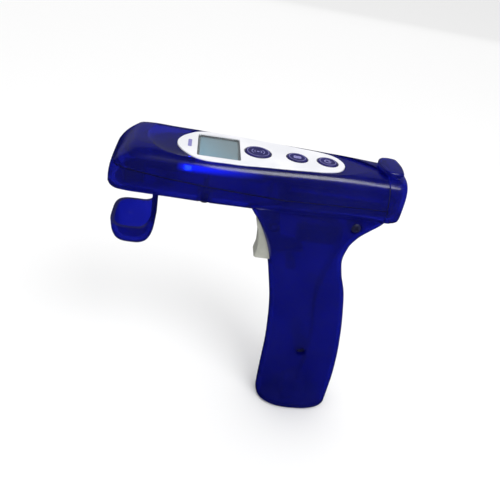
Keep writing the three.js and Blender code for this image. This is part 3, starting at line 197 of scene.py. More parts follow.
# ---- Curves ----
def smooth_value(rows, column, at):
    """Value of a column at one place, on a curve that never overshoots its rows."""
    places = [row[0] for row in rows]
    at = min(max(at, places[0]), places[-1])
    index = next(i for i in range(1, len(rows)) if at <= places[i])
    slopes = [
        (b[column] - a[column]) / (b[0] - a[0]) for a, b in zip(rows, rows[1:])
    ]

    def tangent(i):
        if i == 0:
            return slopes[0]
        if i == len(slopes):
            return slopes[-1]
        before, after = slopes[i - 1], slopes[i]
        return 0 if before * after <= 0 else 2 * before * after / (before + after)

    gap = places[index] - places[index - 1]
    t = (at - places[index - 1]) / gap
    start, end = rows[index - 1][column], rows[index][column]
    return (
        (2 * t**3 - 3 * t**2 + 1) * start
        + (t**3 - 2 * t**2 + t) * gap * tangent(index - 1)
        + (3 * t**2 - 2 * t**3) * end
        + (t**3 - t**2) * gap * tangent(index)
    )


def line_value(line, at):
    """Height of a straight-sided line at one place, carried on past its ends."""
    index = next((i for i in range(1, len(line)) if at <= line[i][0]), len(line) - 1)
    (x0, z0), (x1, z1) = line[index - 1], line[index]
    return z0 + (z1 - z0) * (at - x0) / (x1 - x0)


def fine_places(rows, step):
    """Places from the first row to the last, no further apart than step, on every row."""
    places = [rows[0][0]]
    for before, after in zip(rows, rows[1:]):
        count = max(1, math.ceil((after[0] - before[0]) / step))
        places += [
            before[0] + (after[0] - before[0]) * i / count for i in range(1, count + 1)
        ]
    return places


def round_ring(half_u, up, down, count, squareness, lower_squareness=None):
    """Points round a squared-off ellipse."""
    points = []
    for index in range(count):
        turn = (index + 0.5) / count * 2 * math.pi
        c, s = math.cos(turn), math.sin(turn)
        power = 2 / (squareness if s > 0 or lower_squareness is None else lower_squareness)
        half_v = up if s > 0 else down
        points.append(
            (
                half_u * math.copysign(abs(c) ** power, c),
                half_v * math.copysign(abs(s) ** power, s),
            )
        )
    return points


def smooth_outline(points, resolution=8):
    """A closed smooth curve through the points, in one plane."""
    curve = bpy.data.curves.new("outline", "CURVE")
    curve.dimensions = "3D"
    curve.resolution_u = resolution
    spline = curve.splines.new("BEZIER")
    spline.bezier_points.add(len(points) - 1)
    for knot, (u, v) in zip(spline.bezier_points, points):
        knot.co = (u, v, 0)
        knot.handle_left_type = knot.handle_right_type = "AUTO"
    spline.use_cyclic_u = True
    holder = bpy.data.objects.new("outline", curve)
    mesh = holder.to_mesh()
    found = [(v.co.x, v.co.y) for v in mesh.vertices]
    holder.to_mesh_clear()
    bpy.data.objects.remove(holder)
    bpy.data.curves.remove(curve)
    return found


def leaf_outline(shape, front, rear, half_width):
    side = [(front + along * (rear - front), out * half_width) for along, out in shape]
    return smooth_outline(side + [(x, -y) for x, y in reversed(side[1:-1])])


def rounded_rectangle(length, width, radius, x=0):
    corners = [(1, 1), (-1, 1), (-1, -1), (1, -1)]
    points = []
    for quarter, (side_x, side_y) in enumerate(corners):
        for step in range(CORNER_STEPS + 1):
            turn = (quarter + step / CORNER_STEPS) * math.pi / 2
            points.append(
                (
                    x + side_x * (length / 2 - radius) + radius * math.cos(turn),
                    side_y * (width / 2 - radius) + radius * math.sin(turn),
                )
            )
    return points


# ---- Solids, made in millimetres ----
def bm_object(bm):
    """A closed mesh with its faces outwards, as an object in metres."""
    bmesh.ops.recalc_face_normals(bm, faces=bm.faces)
    bmesh.ops.scale(bm, vec=(MM, MM, MM), verts=bm.verts)
    mesh = bpy.data.meshes.new("part")
    bm.to_mesh(mesh)
    bm.free()
    made = bpy.data.objects.new("part", mesh)
    bpy.context.scene.collection.objects.link(made)
    return made


def loft(rings):
    """Skins closed rings of equal point counts and caps both ends."""
    bm = bmesh.new()
    loops = []
    for ring in rings:
        verts = bmesh.ops.create_circle(bm, segments=len(ring), radius=1)["verts"]
        for vert, place in zip(verts, ring):
            vert.co = place
        loops.append((verts, list({edge for vert in verts for edge in vert.link_edges})))
    for (_, before), (_, after) in zip(loops, loops[1:]):
        bmesh.ops.bridge_loops(bm, edges=before + after)
    for verts, _ in (loops[0], loops[-1]):
        bmesh.ops.contextual_create(bm, geom=verts)
    return bm_object(bm)


def prism_bm(points, axis, start, end):
    """An outline carried along an axis. Its two coordinates are the other two, in order."""
    bm = bmesh.new()
    verts = []
    for first, second in points:
        place = [first, second]
        place.insert(axis, start)
        verts.append(bm.verts.new(place))
    face = bm.faces.new(verts)
    grown = bmesh.ops.extrude_face_region(bm, geom=[face])["geom"]
    move = [0, 0, 0]
    move[axis] = end - start
    moved = [item for item in grown if isinstance(item, bmesh.types.BMVert)]
    bmesh.ops.translate(bm, verts=moved, vec=move)
    bmesh.ops.recalc_face_normals(bm, faces=bm.faces)
    return bm


def prism(points, axis, start, end):
    return bm_object(prism_bm(points, axis, start, end))


def block(x_ends, y_ends, z_ends):
    points = [(x, y) for x, y in zip(x_ends + x_ends[::-1], (y_ends[0],) * 2 + (y_ends[1],) * 2)]
    return prism(points, Z, *z_ends)


TURN_TO = {
    X: Matrix.Rotation(math.pi / 2, 4, "Y"),
    Y: Matrix.Rotation(-math.pi / 2, 4, "X"),
    Z: Matrix.Identity(4),
}


def rod(axis, radius, start, end, first, second, sides=32):
    """A round bar along an axis, through the other two coordinates."""
    place = [first, second]
    place.insert(axis, (start + end) / 2)
    bm = bmesh.new()
    bmesh.ops.create_cone(
        bm,
        cap_ends=True,
        segments=sides,
        radius1=radius,
        radius2=radius,
        depth=end - start,
        matrix=Matrix.Translation(place) @ TURN_TO[axis],
    )
    return bm_object(bm)


def turned_bm(profile, steps):
    """A profile of (radius, height) points turned about Z. It starts and ends on the axis."""
    bm = bmesh.new()
    verts = [bm.verts.new((radius, 0, height)) for radius, height in profile]
    edges = [bm.edges.new(pair) for pair in zip(verts, verts[1:])]
    bmesh.ops.spin(
        bm,
        geom=verts + edges,
        cent=(0, 0, 0),
        axis=(0, 0, 1),
        angle=2 * math.pi,
        steps=steps,
        use_merge=True,
    )
    bmesh.ops.remove_doubles(bm, verts=bm.verts, dist=1e-4)
    bmesh.ops.recalc_face_normals(bm, faces=bm.faces)
    return bm


def ring_bm(radius, width, z_low, z_high, angle=2 * math.pi, start=0, steps=64):
    """A flat ring, or part of one, about the Z axis."""
    bm = bmesh.new()
    turn = Matrix.Rotation(start, 4, "Z")
    corners = [
        (radius - width / 2, z_low), (radius + width / 2, z_low),
        (radius + width / 2, z_high), (radius - width / 2, z_high),
    ]
    verts = [bm.verts.new(turn @ Vector((r, 0, z))) for r, z in corners]
    edges = [bm.edges.new((verts[i], verts[(i + 1) % 4])) for i in range(4)]
    full = angle >= 2 * math.pi
    bmesh.ops.spin(
        bm,
        geom=verts + edges,
        cent=(0, 0, 0),
        axis=(0, 0, 1),
        angle=angle,
        steps=steps,
        use_merge=full,
    )
    if not full:
        bmesh.ops.holes_fill(bm, edges=bm.edges, sides=4)
    bmesh.ops.remove_doubles(bm, verts=bm.verts, dist=1e-4)
    return bm


def bevel_edges(bm, edges, width, segments=3):
    bmesh.ops.bevel(
        bm,
        geom=edges,
        offset=width,
        offset_type="OFFSET",
        affect="EDGES",
        segments=segments,
        profile=0.5,
        material=-1,
        clamp_overlap=True,
    )


def sharp_edges(bm, degrees, test=lambda edge: True):
    limit = math.radians(degrees)
    return [
        edge for edge in bm.edges if edge.calc_face_angle(0) > limit and test(edge)
    ]


def duplicate(source):
    made = source.copy()
    made.data = source.data.copy()
    bpy.context.scene.collection.objects.link(made)
    return made


def combine(target, operation, *others):
    """Cuts, joins or intersects target with the others, which are used up."""
    for other in others:
        step = target.modifiers.new("combine", "BOOLEAN")
        step.operation = operation
        step.solver = "MANIFOLD"
        step.object = other
    depsgraph = bpy.context.evaluated_depsgraph_get()
    mesh = bpy.data.meshes.new_from_object(target.evaluated_get(depsgraph))
    target.modifiers.clear()
    target.data = mesh
    for other in others:
        bpy.data.objects.remove(other)
    return target


def cut(target, *others):
    return combine(target, "DIFFERENCE", *others)


def join(target, *others):
    return combine(target, "UNION", *others)


def keep(target, *others):
    return combine(target, "INTERSECT", *others)


def piece(made, name, body, material, nodes=(), flat=False):
    """Names a finished object, shades it, and ties it to its body and the nodes it stands for."""
    made.name = name
    made.data.name = name
    made.data.polygons.foreach_set("use_smooth", [True] * len(made.data.polygons))
    made.data.set_sharp_from_angle(angle=math.radians(SHARP_DEGREES))
    if flat:
        level = made.modifiers.new("flat faces stay flat", "WEIGHTED_NORMAL")
        level.keep_sharp = True
    made.data.materials.clear()
    made.data.materials.append(material)
    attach(made, body)
    if nodes:
        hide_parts(*nodes)
    return made


# ---- Materials ----
def to_linear(colour):
    """An sRGB hex colour as linear RGBA."""
    parts = [int(colour[i : i + 2], 16) / 255 for i in (1, 3, 5)]
    return [
        part / 12.92 if part <= 0.04045 else ((part + 0.055) / 1.055) ** 2.4
        for part in parts
    ] + [1]


def add(tree, kind, values=None, links=None, **settings):
    """Adds one shader node, with its settings, its inputs' values and its links."""
    made = tree.nodes.new(kind)
    for name, value in settings.items():
        setattr(made, name, value)
    for name, value in (values or {}).items():
        made.inputs[name].default_value = value
    for name, source in (links or {}).items():
        tree.links.new(source, made.inputs[name])
    return made


def new_material(name, **values):
    """A Principled material and the coordinates that its patterns read."""
    material = bpy.data.materials.new(name)
    material.use_nodes = True
    tree = material.node_tree
    shader = tree.nodes["Principled BSDF"]
    for socket, value in values.items():
        shader.inputs[socket.replace("_", " ")].default_value = value
    coordinates = add(tree, "ShaderNodeTexCoord").outputs["Object"]
    return material, tree, shader, coordinates


def mottle(tree, coordinates, size_mm, first, second):
    """Soft blotches between two colours, about size_mm across."""
    noise = add(
        tree,
        "ShaderNodeTexNoise",
        {"Scale": 1 / (size_mm * MM), "Detail": 3},
        {"Vector": coordinates},
    )
    ramp = add(tree, "ShaderNodeValToRGB", links={"Fac": noise.outputs["Fac"]})
    ramp.color_ramp.elements[0].position = 0.35
    ramp.color_ramp.elements[1].position = 0.65
    ramp.color_ramp.elements[0].color = to_linear(first)
    ramp.color_ramp.elements[1].color = to_linear(second)
    return ramp.outputs["Color"]


WEAR_SIZE = 14


def moulded_skin(tree, shader, coordinates, grain_mm, depth_mm, rough, spread):
    """The fine grain that a mould leaves, in the surface and in its gloss."""
    grain = add(
        tree,
        "ShaderNodeTexNoise",
        {"Scale": 1 / (grain_mm * MM), "Detail": 4, "Roughness": 0.6},
        {"Vector": coordinates},
    )
    wear = add(
        tree,
        "ShaderNodeTexNoise",
        {"Scale": 1 / (WEAR_SIZE * MM), "Detail": 5},
        {"Vector": coordinates},
    )
    bump = add(
        tree,
        "ShaderNodeBump",
        {"Strength": 0.6, "Distance": depth_mm * MM},
        {"Height": grain.outputs["Fac"]},
    )
    gloss = add(
        tree,
        "ShaderNodeMapRange",
        {"From Min": 0.3, "From Max": 0.7, "To Min": rough - spread, "To Max": rough + spread},
        {"Value": wear.outputs["Fac"]},
    )
    tree.links.new(bump.outputs["Normal"], shader.inputs["Normal"])
    tree.links.new(gloss.outputs["Result"], shader.inputs["Roughness"])


# Painted glow along the shoulder, an emission in the shell that stands in for the light beside the
# display: reach behind and before the light, where it starts and is full across the barrel, height
# above the light, and half its height on the wall.
GLOW_REACH = 34
GLOW_LEAD = 1.5
GLOW_FRONT = 5
GLOW_START_Y = -15.5
GLOW_FULL_Y = -17
GLOW_RISE = 1.8
GLOW_HALF = 2.4
GLOW_STRENGTH = 0.9


def blue_polycarbonate():
    """Clear blue polycarbonate, injection moulded: glossy outside, with a soft view of the inside, and a
    painted glow along the shoulder.
    """
    colours = bpy.context.scene.scanner_colours
    material, tree, shader, coordinates = new_material(
        "blue clear polycarbonate",
        IOR=1.58,
        Transmission_Weight=0.82,
    )
    blotch = mottle(tree, coordinates, 30, "#141A9C", "#1A21AE")
    tree.links.new(blotch, shader.inputs["Base Color"])
    moulded_skin(tree, shader, coordinates, 0.9, 0.001, 0.21, 0.04)
    # Painted glow: the shell itself emits, standing in for the light beside the display that runs along the
    # shoulder inside the wall, and fades out.
    place = add(tree, "ShaderNodeSeparateXYZ", links={"Vector": coordinates})
    lamp = [middle("status_led", axis) * MM for axis in (X, Y, Z)]
    along = add(
        tree,
        "ShaderNodeMapRange",
        {
            "From Min": lamp[X] - GLOW_LEAD * MM,
            "From Max": lamp[X] + GLOW_REACH * MM,
            "To Min": 1,
            "To Max": 0,
        },
        {"Value": place.outputs["X"]},
    )
    before = add(
        tree,
        "ShaderNodeMapRange",
        {"From Min": lamp[X] - GLOW_FRONT * MM, "From Max": lamp[X], "To Min": 0, "To Max": 1},
        {"Value": place.outputs["X"]},
    )
    near = add(
        tree,
        "ShaderNodeMapRange",
        {"From Min": GLOW_START_Y * MM, "From Max": GLOW_FULL_Y * MM, "To Min": 0, "To Max": 1},
        {"Value": place.outputs["Y"]},
    )
    height = add(
        tree,
        "ShaderNodeMath",
        {1: lamp[Z] + GLOW_RISE * MM},
        {0: place.outputs["Z"]},
        operation="SUBTRACT",
    )
    distance = add(
        tree, "ShaderNodeMath", links={0: height.outputs[0]}, operation="ABSOLUTE"
    )
    level = add(
        tree,
        "ShaderNodeMapRange",
        {"From Min": 0, "From Max": GLOW_HALF * MM, "To Min": 1, "To Max": 0},
        {"Value": distance.outputs[0]},
        interpolation_type="SMOOTHSTEP",
    )
    painted_glow = along.outputs["Result"]
    for mask in (before, near, level):
        painted_glow = add(
            tree,
            "ShaderNodeMath",
            links={0: painted_glow, 1: mask.outputs["Result"]},
            operation="MULTIPLY",
        ).outputs[0]
    strength = add(
        tree, "ShaderNodeMath", {1: GLOW_STRENGTH}, {0: painted_glow}, operation="MULTIPLY"
    )
    shader.inputs["Emission Color"].default_value = [*colours.painted_glow, 1]
    tree.links.new(strength.outputs[0], shader.inputs["Emission Strength"])
    return material


def satin_abs():
    """Satin white ABS panel: even, with a very fine spark-eroded grain."""
    material, tree, shader, coordinates = new_material(
        "satin white ABS", IOR=1.54, Coat_Weight=0.1, Coat_Roughness=0.2
    )
    tree.links.new(
        mottle(tree, coordinates, 12, "#E9EAEF", "#F4F4F8"), shader.inputs["Base Color"]
    )
    moulded_skin(tree, shader, coordinates, 0.35, 0.008, 0.38, 0.05)
    return material


# A wave texture repeats each 2 pi / 20 at a scale of one.
WAVE_PERIOD = 2 * math.pi / 20


def clear_acrylic():
    """Cast acrylic window: polished, with faint wiping marks in its gloss."""
    material, tree, shader, coordinates = new_material(
        "polished clear acrylic",
        Base_Color=to_linear("#F2FBFD"),
        IOR=1.49,
        Transmission_Weight=1,
    )
    wipe = add(
        tree,
        "ShaderNodeMapping",
        {"Scale": (1 / (9 * MM), 1 / (0.8 * MM), 1 / (5 * MM)), "Rotation": (0, 0, 0.5)},
        {"Vector": coordinates},
    )
    marks = add(
        tree,
        "ShaderNodeTexNoise",
        {"Scale": 1, "Detail": 3},
        {"Vector": wipe.outputs["Vector"]},
    )
    gloss = add(
        tree,
        "ShaderNodeMapRange",
        {"To Min": 0.0, "To Max": 0.06},
        {"Value": marks.outputs["Fac"]},
    )
    tree.links.new(gloss.outputs["Result"], shader.inputs["Roughness"])
    return material


ROW_PITCH = 3.1416


def liquid_crystal():
    """Reflective liquid crystal panel, lit from its edge: grey-green, with the colder, brighter side of the
    edge light painted into its colour as well as its glow.
    """
    material, tree, shader, coordinates = new_material(
        "liquid crystal panel", IOR=1.52, Coat_Weight=0.4, Coat_Roughness=0.08
    )
    place = add(tree, "ShaderNodeSeparateXYZ", links={"Vector": coordinates})
    across = add(
        tree,
        "ShaderNodeMapRange",
        {
            "From Min": low("lcd_glass", X) * MM,
            "From Max": high("lcd_glass", X) * MM,
            "To Min": 0,
            "To Max": 0.62,
        },
        {"Value": place.outputs["X"]},
    )
    down = add(
        tree,
        "ShaderNodeMapRange",
        {
            "From Min": low("lcd_glass", Y) * MM,
            "From Max": high("lcd_glass", Y) * MM,
            "To Min": 0,
            "To Max": 0.38,
        },
        {"Value": place.outputs["Y"]},
    )
    total = add(
        tree,
        "ShaderNodeMath",
        links={0: across.outputs["Result"], 1: down.outputs["Result"]},
        operation="ADD",
    )
    # Painted light: this ramp makes one corner colder and brighter in the base colour as well as in the
    # backlight's glow.
    ramp = add(tree, "ShaderNodeValToRGB", links={"Fac": total.outputs[0]})
    ramp.color_ramp.elements[0].color = to_linear("#5FA0BE")
    ramp.color_ramp.elements[1].color = to_linear("#5E7884")
    ramp.color_ramp.elements[1].position = 0.7
    # Faint bands across the glass, 3.1 mm apart. The real rows are too fine to show.
    rows = add(
        tree,
        "ShaderNodeTexWave",
        {"Scale": WAVE_PERIOD / (ROW_PITCH * MM), "Distortion": 0},
        {"Vector": coordinates},
        wave_type="BANDS",
        bands_direction="Y",
    )
    shade = add(
        tree,
        "ShaderNodeMix",
        {0: 0.06},
        {6: ramp.outputs["Color"], 7: rows.outputs["Color"]},
        data_type="RGBA",
        blend_type="MULTIPLY",
    )
    tree.links.new(shade.outputs[2], shader.inputs["Base Color"])
    tree.links.new(shade.outputs[2], shader.inputs["Emission Color"])
    shader.inputs["Emission Strength"].default_value = 0.18
    shader.inputs["Roughness"].default_value = 0.3
    return material


def even_surface(name, first, second, grain_mm, rough, **values):
    """An opaque moulded or painted surface: two close shades, a fine grain and uneven gloss."""
    material, tree, shader, coordinates = new_material(name, IOR=1.5, **values)
    tree.links.new(
        mottle(tree, coordinates, 6, first, second), shader.inputs["Base Color"]
    )
    moulded_skin(tree, shader, coordinates, grain_mm, 0.02, rough, 0.06)
    return material


def metal(name, first, second, rough, pull, **values):
    """A metal with fine lines pulled along one axis."""
    material, tree, shader, coordinates = new_material(name, Metallic=1, **values)
    stretch = add(
        tree,
        "ShaderNodeMapping",
        {"Scale": [1 / (size * MM) for size in pull]},
        {"Vector": coordinates},
    )
    lines = add(
        tree,
        "ShaderNodeTexNoise",
        {"Scale": 1, "Detail": 5},
        {"Vector": stretch.outputs["Vector"]},
    )
    ramp = add(tree, "ShaderNodeValToRGB", links={"Fac": lines.outputs["Fac"]})
    ramp.color_ramp.elements[0].color = to_linear(first)
    ramp.color_ramp.elements[1].color = to_linear(second)
    gloss = add(
        tree,
        "ShaderNodeMapRange",
        {"To Min": rough - 0.08, "To Max": rough + 0.1},
        {"Value": lines.outputs["Fac"]},
    )
    bump = add(
        tree,
        "ShaderNodeBump",
        {"Strength": 0.3, "Distance": 0.01 * MM},
        {"Height": lines.outputs["Fac"]},
    )
    tree.links.new(ramp.outputs["Color"], shader.inputs["Base Color"])
    tree.links.new(gloss.outputs["Result"], shader.inputs["Roughness"])
    tree.links.new(bump.outputs["Normal"], shader.inputs["Normal"])
    return material


TURN_PITCH = 2.5133


def wound_copper():
    """Enamelled copper wire wound round the former, with its turns drawn 2.5 mm apart to show: painted
    shade between the turns and painted sheen on them.
    """
    material, tree, shader, coordinates = new_material(
        "enamelled copper winding", Metallic=0.9, Roughness=0.3, Coat_Weight=0.5
    )
    turns = add(
        tree,
        "ShaderNodeTexWave",
        {"Scale": WAVE_PERIOD / (TURN_PITCH * MM), "Distortion": 0.4, "Detail": 1},
        {"Vector": coordinates},
        wave_type="BANDS",
        bands_direction="X",
    )
    # Painted shade and sheen: the dark bands are shade in the grooves between turns, the light bands sheen
    # on their crests.
    ramp = add(tree, "ShaderNodeValToRGB", links={"Fac": turns.outputs["Fac"]})
    ramp.color_ramp.elements[0].color = to_linear("#5A2A12")
    ramp.color_ramp.elements[1].color = to_linear("#C77842")
    bump = add(
        tree,
        "ShaderNodeBump",
        {"Strength": 1, "Distance": 0.1 * MM},
        {"Height": turns.outputs["Fac"]},
    )
    tree.links.new(ramp.outputs["Color"], shader.inputs["Base Color"])
    tree.links.new(bump.outputs["Normal"], shader.inputs["Normal"])
    return material


def circuit_board():
    """Glass-epoxy board under green solder mask, with its tracks showing as lighter lines."""
    material, tree, shader, coordinates = new_material(
        "green solder mask", IOR=1.5, Coat_Weight=0.5, Coat_Roughness=0.15
    )
    tracks = add(
        tree,
        "ShaderNodeTexBrick",
        {
            "Scale": 1 / (9 * MM),
            "Mortar Size": 0.03,
            "Mortar Smooth": 0.1,
            "Color1": to_linear("#145232"),
            "Color2": to_linear("#185C38"),
            "Mortar": to_linear("#3C8A58"),
        },
        {"Vector": coordinates},
    )
    tree.links.new(tracks.outputs["Color"], shader.inputs["Base Color"])
    moulded_skin(tree, shader, coordinates, 0.5, 0.02, 0.35, 0.06)
    return material


def status_lamp():
    """Clear lens of a light, lit blue and brightest at its core."""
    colours = bpy.context.scene.scanner_colours
    material, tree, shader, coordinates = new_material(
        "lit clear epoxy lens", Roughness=0.1, IOR=1.53
    )
    core = add(
        tree,
        "ShaderNodeTexNoise",
        {"Scale": 1 / (1.2 * MM), "Detail": 1},
        {"Vector": coordinates},
    )
    ramp = add(tree, "ShaderNodeValToRGB", links={"Fac": core.outputs["Fac"]})
    ramp.color_ramp.elements[0].color = [*colours.lamp, 1]
    ramp.color_ramp.elements[1].color = to_linear("#9FE4FF")
    tree.links.new(ramp.outputs["Color"], shader.inputs["Base Color"])
    tree.links.new(ramp.outputs["Color"], shader.inputs["Emission Color"])
    shader.inputs["Emission Strength"].default_value = 20
    return material


made_materials = {}


def finish(name):
    """Makes each material once, when the first piece asks for it."""
    makers = {
        "blue": blue_polycarbonate,
        "white": satin_abs,
        "window": clear_acrylic,
        "lcd": liquid_crystal,
        "board": circuit_board,
        "lamp": status_lamp,
        "winding": wound_copper,
        # Zinc plating: bright grey with fine lines drawn along the bar.
        "steel": lambda: metal("zinc-plated steel", "#8E9094", "#C9CBD0", 0.3, (6, 0.3, 0.3)),
        # Drawn wire: darker, and polished by the die.
        "spring": lambda: metal("spring steel wire", "#6E7074", "#B5B7BB", 0.25, (0.4, 2, 2)),
        # Printed steel sleeve: grey-blue, with marks along the cell.
        "sleeve": lambda: metal("cell's metal sleeve", "#55606C", "#98A2AE", 0.3, (8, 1, 1)),
        # Lacquer over steel: nearly black with a soft gloss.
        "screw": lambda: even_surface("blue-black lacquered steel", "#15163A", "#1F214E", 0.3, 0.4),
        # Pressed and fired powder: dull charcoal.
        "ferrite": lambda: even_surface("sintered ferrite", "#26262A", "#38383D", 0.3, 0.7),
        # Dyed caps: dark indigo with a satin face.
        "keys": lambda: even_surface("indigo moulded keycap", "#1E1A58", "#2A2670", 0.25, 0.34),
        # Ink from a soft pad: thin, flat and slightly uneven.
        "print": lambda: even_surface("pad-printed lavender ink", "#8480BE", "#9A97D0", 0.15, 0.4),
        # Moulded ABS: warm grey, satin.
        "trigger": lambda: even_surface("warm grey ABS", "#A4A69C", "#B2B3AA", 0.3, 0.42),
        # Glass fibre near the surface: matt black with a coarser grain.
        "black": lambda: even_surface("black glass-filled nylon", "#17181B", "#232428", 0.4, 0.5),
        # Milky acrylic: even and pale, to spread the backlight.
        "guide": lambda: even_surface("milky acrylic light guide", "#DCE8EC", "#EDF4F6", 0.4, 0.4),
        # Ink on the inside of the window: dark slate.
        "mask": lambda: even_surface("dark printed frame", "#2B3540", "#36424E", 0.2, 0.4),
        # Extruded silicone: even colour and a soft gloss.
        "red": lambda: even_surface("red silicone insulation", "#A01018", "#B81C22", 0.3, 0.4),
        "dark": lambda: even_surface("black silicone insulation", "#141416", "#1E1E21", 0.3, 0.4),
    }
    if name not in made_materials:
        made_materials[name] = makers[name]()
    return made_materials[name]


# ---- Forms shared by the shells ----
def barrel_form(inset):
    """The barrel's outer form, drawn in by inset all round."""
    nose_end = nose_rows[-1][0]
    rows = [(NOSE_X + row[0], *row[1:]) for row in nose_rows]
    rows += [
        (NOSE_X + nose_end + row[0] * (BARREL_LENGTH - nose_end), *row[1:])
        for row in body_rows
    ]
    squeeze = (BARREL_LENGTH - 2 * inset) / BARREL_LENGTH
    ceiling = CEILING_Z if inset else FACE_Z + NOSE_PLATEAU
    rings = []
    for x in fine_places(rows, BARREL_STEP):
        width, top, rise, squareness, drop = [
            smooth_value(rows, column, x) for column in range(1, 6)
        ]
        widest = line_value(seam_line, x) - drop
        up = FACE_Z + top - inset - widest
        down = widest - (UNDER_Z + rise + inset)
        half = BARREL_HALF * width - inset
        ring = round_ring(half, up, down, RING_POINTS, squareness, UNDERSIDE_SQUARENESS)
        ring_x = NOSE_X + inset + (x - NOSE_X) * squeeze
        rings.append([(ring_x, y, min(widest + z, ceiling)) for y, z in ring])
    return loft(rings)


def grip_form(inset):
    """The grip's outer form, drawn in by inset, open to the barrel at its top."""
    height = UNDER_Z - BASE_Z
    rings = []
    for share in fine_places(grip_rows, GRIP_STEP):
        front, rear, half = [smooth_value(grip_rows, column, share) for column in (1, 2, 3)]
        z = BASE_Z + height * share + (inset if share <= grip_rows[1][0] else 0)
        across = half - inset
        ring = round_ring((rear - front) / 2 - inset, across, across, RING_POINTS, GRIP_SQUARENESS)
        rings.append([((front + rear) / 2 + u, v, z) for u, v in ring])
    return loft(rings)


def above_seam(gap):
    line = [(x, z + gap) for x, z in seam_line]
    ends = [(-FAR, line_value(seam_line, -FAR) + gap), (FAR, line_value(seam_line, FAR) + gap)]
    points = [ends[0], *line[1:-1], ends[1], (FAR, FAR), (-FAR, FAR)]
    return prism(points, Y, -FAR, FAR)


def below_seam(gap):
    line = [(x, z - gap) for x, z in seam_line]
    ends = [(-FAR, line_value(seam_line, -FAR) - gap), (FAR, line_value(seam_line, FAR) - gap)]
    points = [ends[0], *line[1:-1], ends[1], (FAR, -FAR), (-FAR, -FAR)]
    return prism(points, Y, -FAR, FAR)


COVER_TOP_X = REAR_X - 10
COVER_BOTTOM_X = REAR_X - 5.2


def before_cover(gap):
    """Everything in front of the slanted joint of the rear cover."""
    points = [
        (-FAR, -FAR),
        (COVER_BOTTOM_X + gap, -FAR),
        (COVER_BOTTOM_X + gap, UNDER_Z - 3),
        (COVER_TOP_X + gap, FACE_Z + 5),
        (COVER_TOP_X + gap, FAR),
        (-FAR, FAR),
    ]
    return prism(points, Y, -FAR, FAR)


SADDLE_X = -33
SADDLE_FRONT = -50.5


def saddle_region(gap):
    """The part of the barrel's underside that belongs to the grip, behind a curved front edge."""
    points = [
        (SADDLE_FRONT - gap, -FAR),
        (FAR, -FAR),
        (FAR, FACE_Z),
        (SADDLE_X - gap, FACE_Z),
        (SADDLE_X - gap, FACE_Z - 13.8),
        (SADDLE_X - 4.1 - gap, FACE_Z - 16.2),
        (SADDLE_X - 9.8 - gap, FACE_Z - 17.7),
        (SADDLE_FRONT + 2.6 - gap, FACE_Z - 18.6),
        (SADDLE_FRONT - gap, UNDER_Z - 1),
    ]
    return prism(points, Y, -FAR, FAR)


def display_block(grow, z_low, z_high):
    """The display's opening, widened by grow."""
    length = DISPLAY_LENGTH + 2 * grow
    width = DISPLAY_WIDTH + 2 * grow
    outline = rounded_rectangle(length, width, 1 + grow, middle("lcd_glass", X))
    return prism(outline, Z, z_low, z_high)


def key_place(name):
    """Middle and radius of a key's crown."""
    node = f"{name}_key"
    return middle(node, X), (high(node, X) - low(node, X)) / 2 - KEY_FLANGE


class ScannerSizes(bpy.types.PropertyGroup):
    """Sizes that can be changed without touching the frame."""

    panel_edge: bpy.props.FloatProperty(
        name="Panel edge", description="Rounding of the panel's rim", default=0.0004, unit="LENGTH"
    )
    trigger_edge: bpy.props.FloatProperty(
        name="Trigger edge", description="Rounding of the trigger", default=0.001, unit="LENGTH"
    )
    floor_size: bpy.props.FloatProperty(
        name="Floor", description="Side of the studio floor", default=6.0, unit="LENGTH"
    )


class ScannerColours(bpy.types.PropertyGroup):
    """Colours of the light beside the display, of the glow painted into the shell along the shoulder, and
    of the studio floor.
    """

    lamp: bpy.props.FloatVectorProperty(
        name="Lamp",
        description="Status light",
        subtype="COLOR",
        size=3,
        default=to_linear("#2AA8FF")[:3],
    )
    # Colour of the glow painted into the shell along the shoulder, as an emission.
    painted_glow: bpy.props.FloatVectorProperty(
        name="Glow",
        description="Light that runs along the shoulder",
        subtype="COLOR",
        size=3,
        default=to_linear("#0A1EFF")[:3],
    )
    floor: bpy.props.FloatVectorProperty(
        name="Floor",
        description="Studio floor",
        subtype="COLOR",
        size=3,
        default=to_linear("#F9F9F9")[:3],
    )


class SCANNER_OT_upper_shell(bpy.types.Operator):
    """Upper shell with the panel's pocket, its sunk border and the dish in front of it"""

    bl_idname = "scanner.upper_shell"
    bl_label = "Upper shell"

    def execute(self, context):
        shell = cut(barrel_form(0), barrel_form(WALL))
        keep(shell, above_seam(SEAM / 2), before_cover(-SEAM / 2))
        dish = turned_bm(
            [
                (0, -BORDER_DEPTH), (8, -BORDER_DEPTH), (12, -0.3), (15.5, 0.15),
                (18, 0.75), (19.4, 1.3), (20.4, 2.2), (21, 4), (0, 4),
            ],
            96,
        )
        bmesh.ops.translate(dish, verts=dish.verts, vec=(PANEL_FRONT + 6.6, 0, FACE_Z))
        border = leaf_outline(
            border_leaf,
            PANEL_FRONT - PANEL_MARGIN,
            PANEL_REAR + BORDER_TAIL,
            PANEL_HALF + PANEL_MARGIN,
        )
        pocket = leaf_outline(
            panel_leaf, PANEL_FRONT - SEAT, PANEL_REAR + SEAT, PANEL_HALF + SEAT
        )
        openings = [display_block(0.9, CEILING_Z - 3, FACE_Z)]
        for name in KEY_NAMES:
            x, radius = key_place(name)
            openings.append(rod(Z, radius + KEY_FLANGE + SLIDE, CEILING_Z - 3, FACE_Z, x, 0, 64))
        cut(
            shell,
            bm_object(dish),
            prism(border, Z, FACE_Z - BORDER_DEPTH, FACE_Z + 9),
            prism(pocket, Z, POCKET_Z, FACE_Z + 9),
            *openings,
        )
        piece(shell, "upper_shell_fine", "housing", finish("blue"), ["upper_shell"])
        return {"FINISHED"}


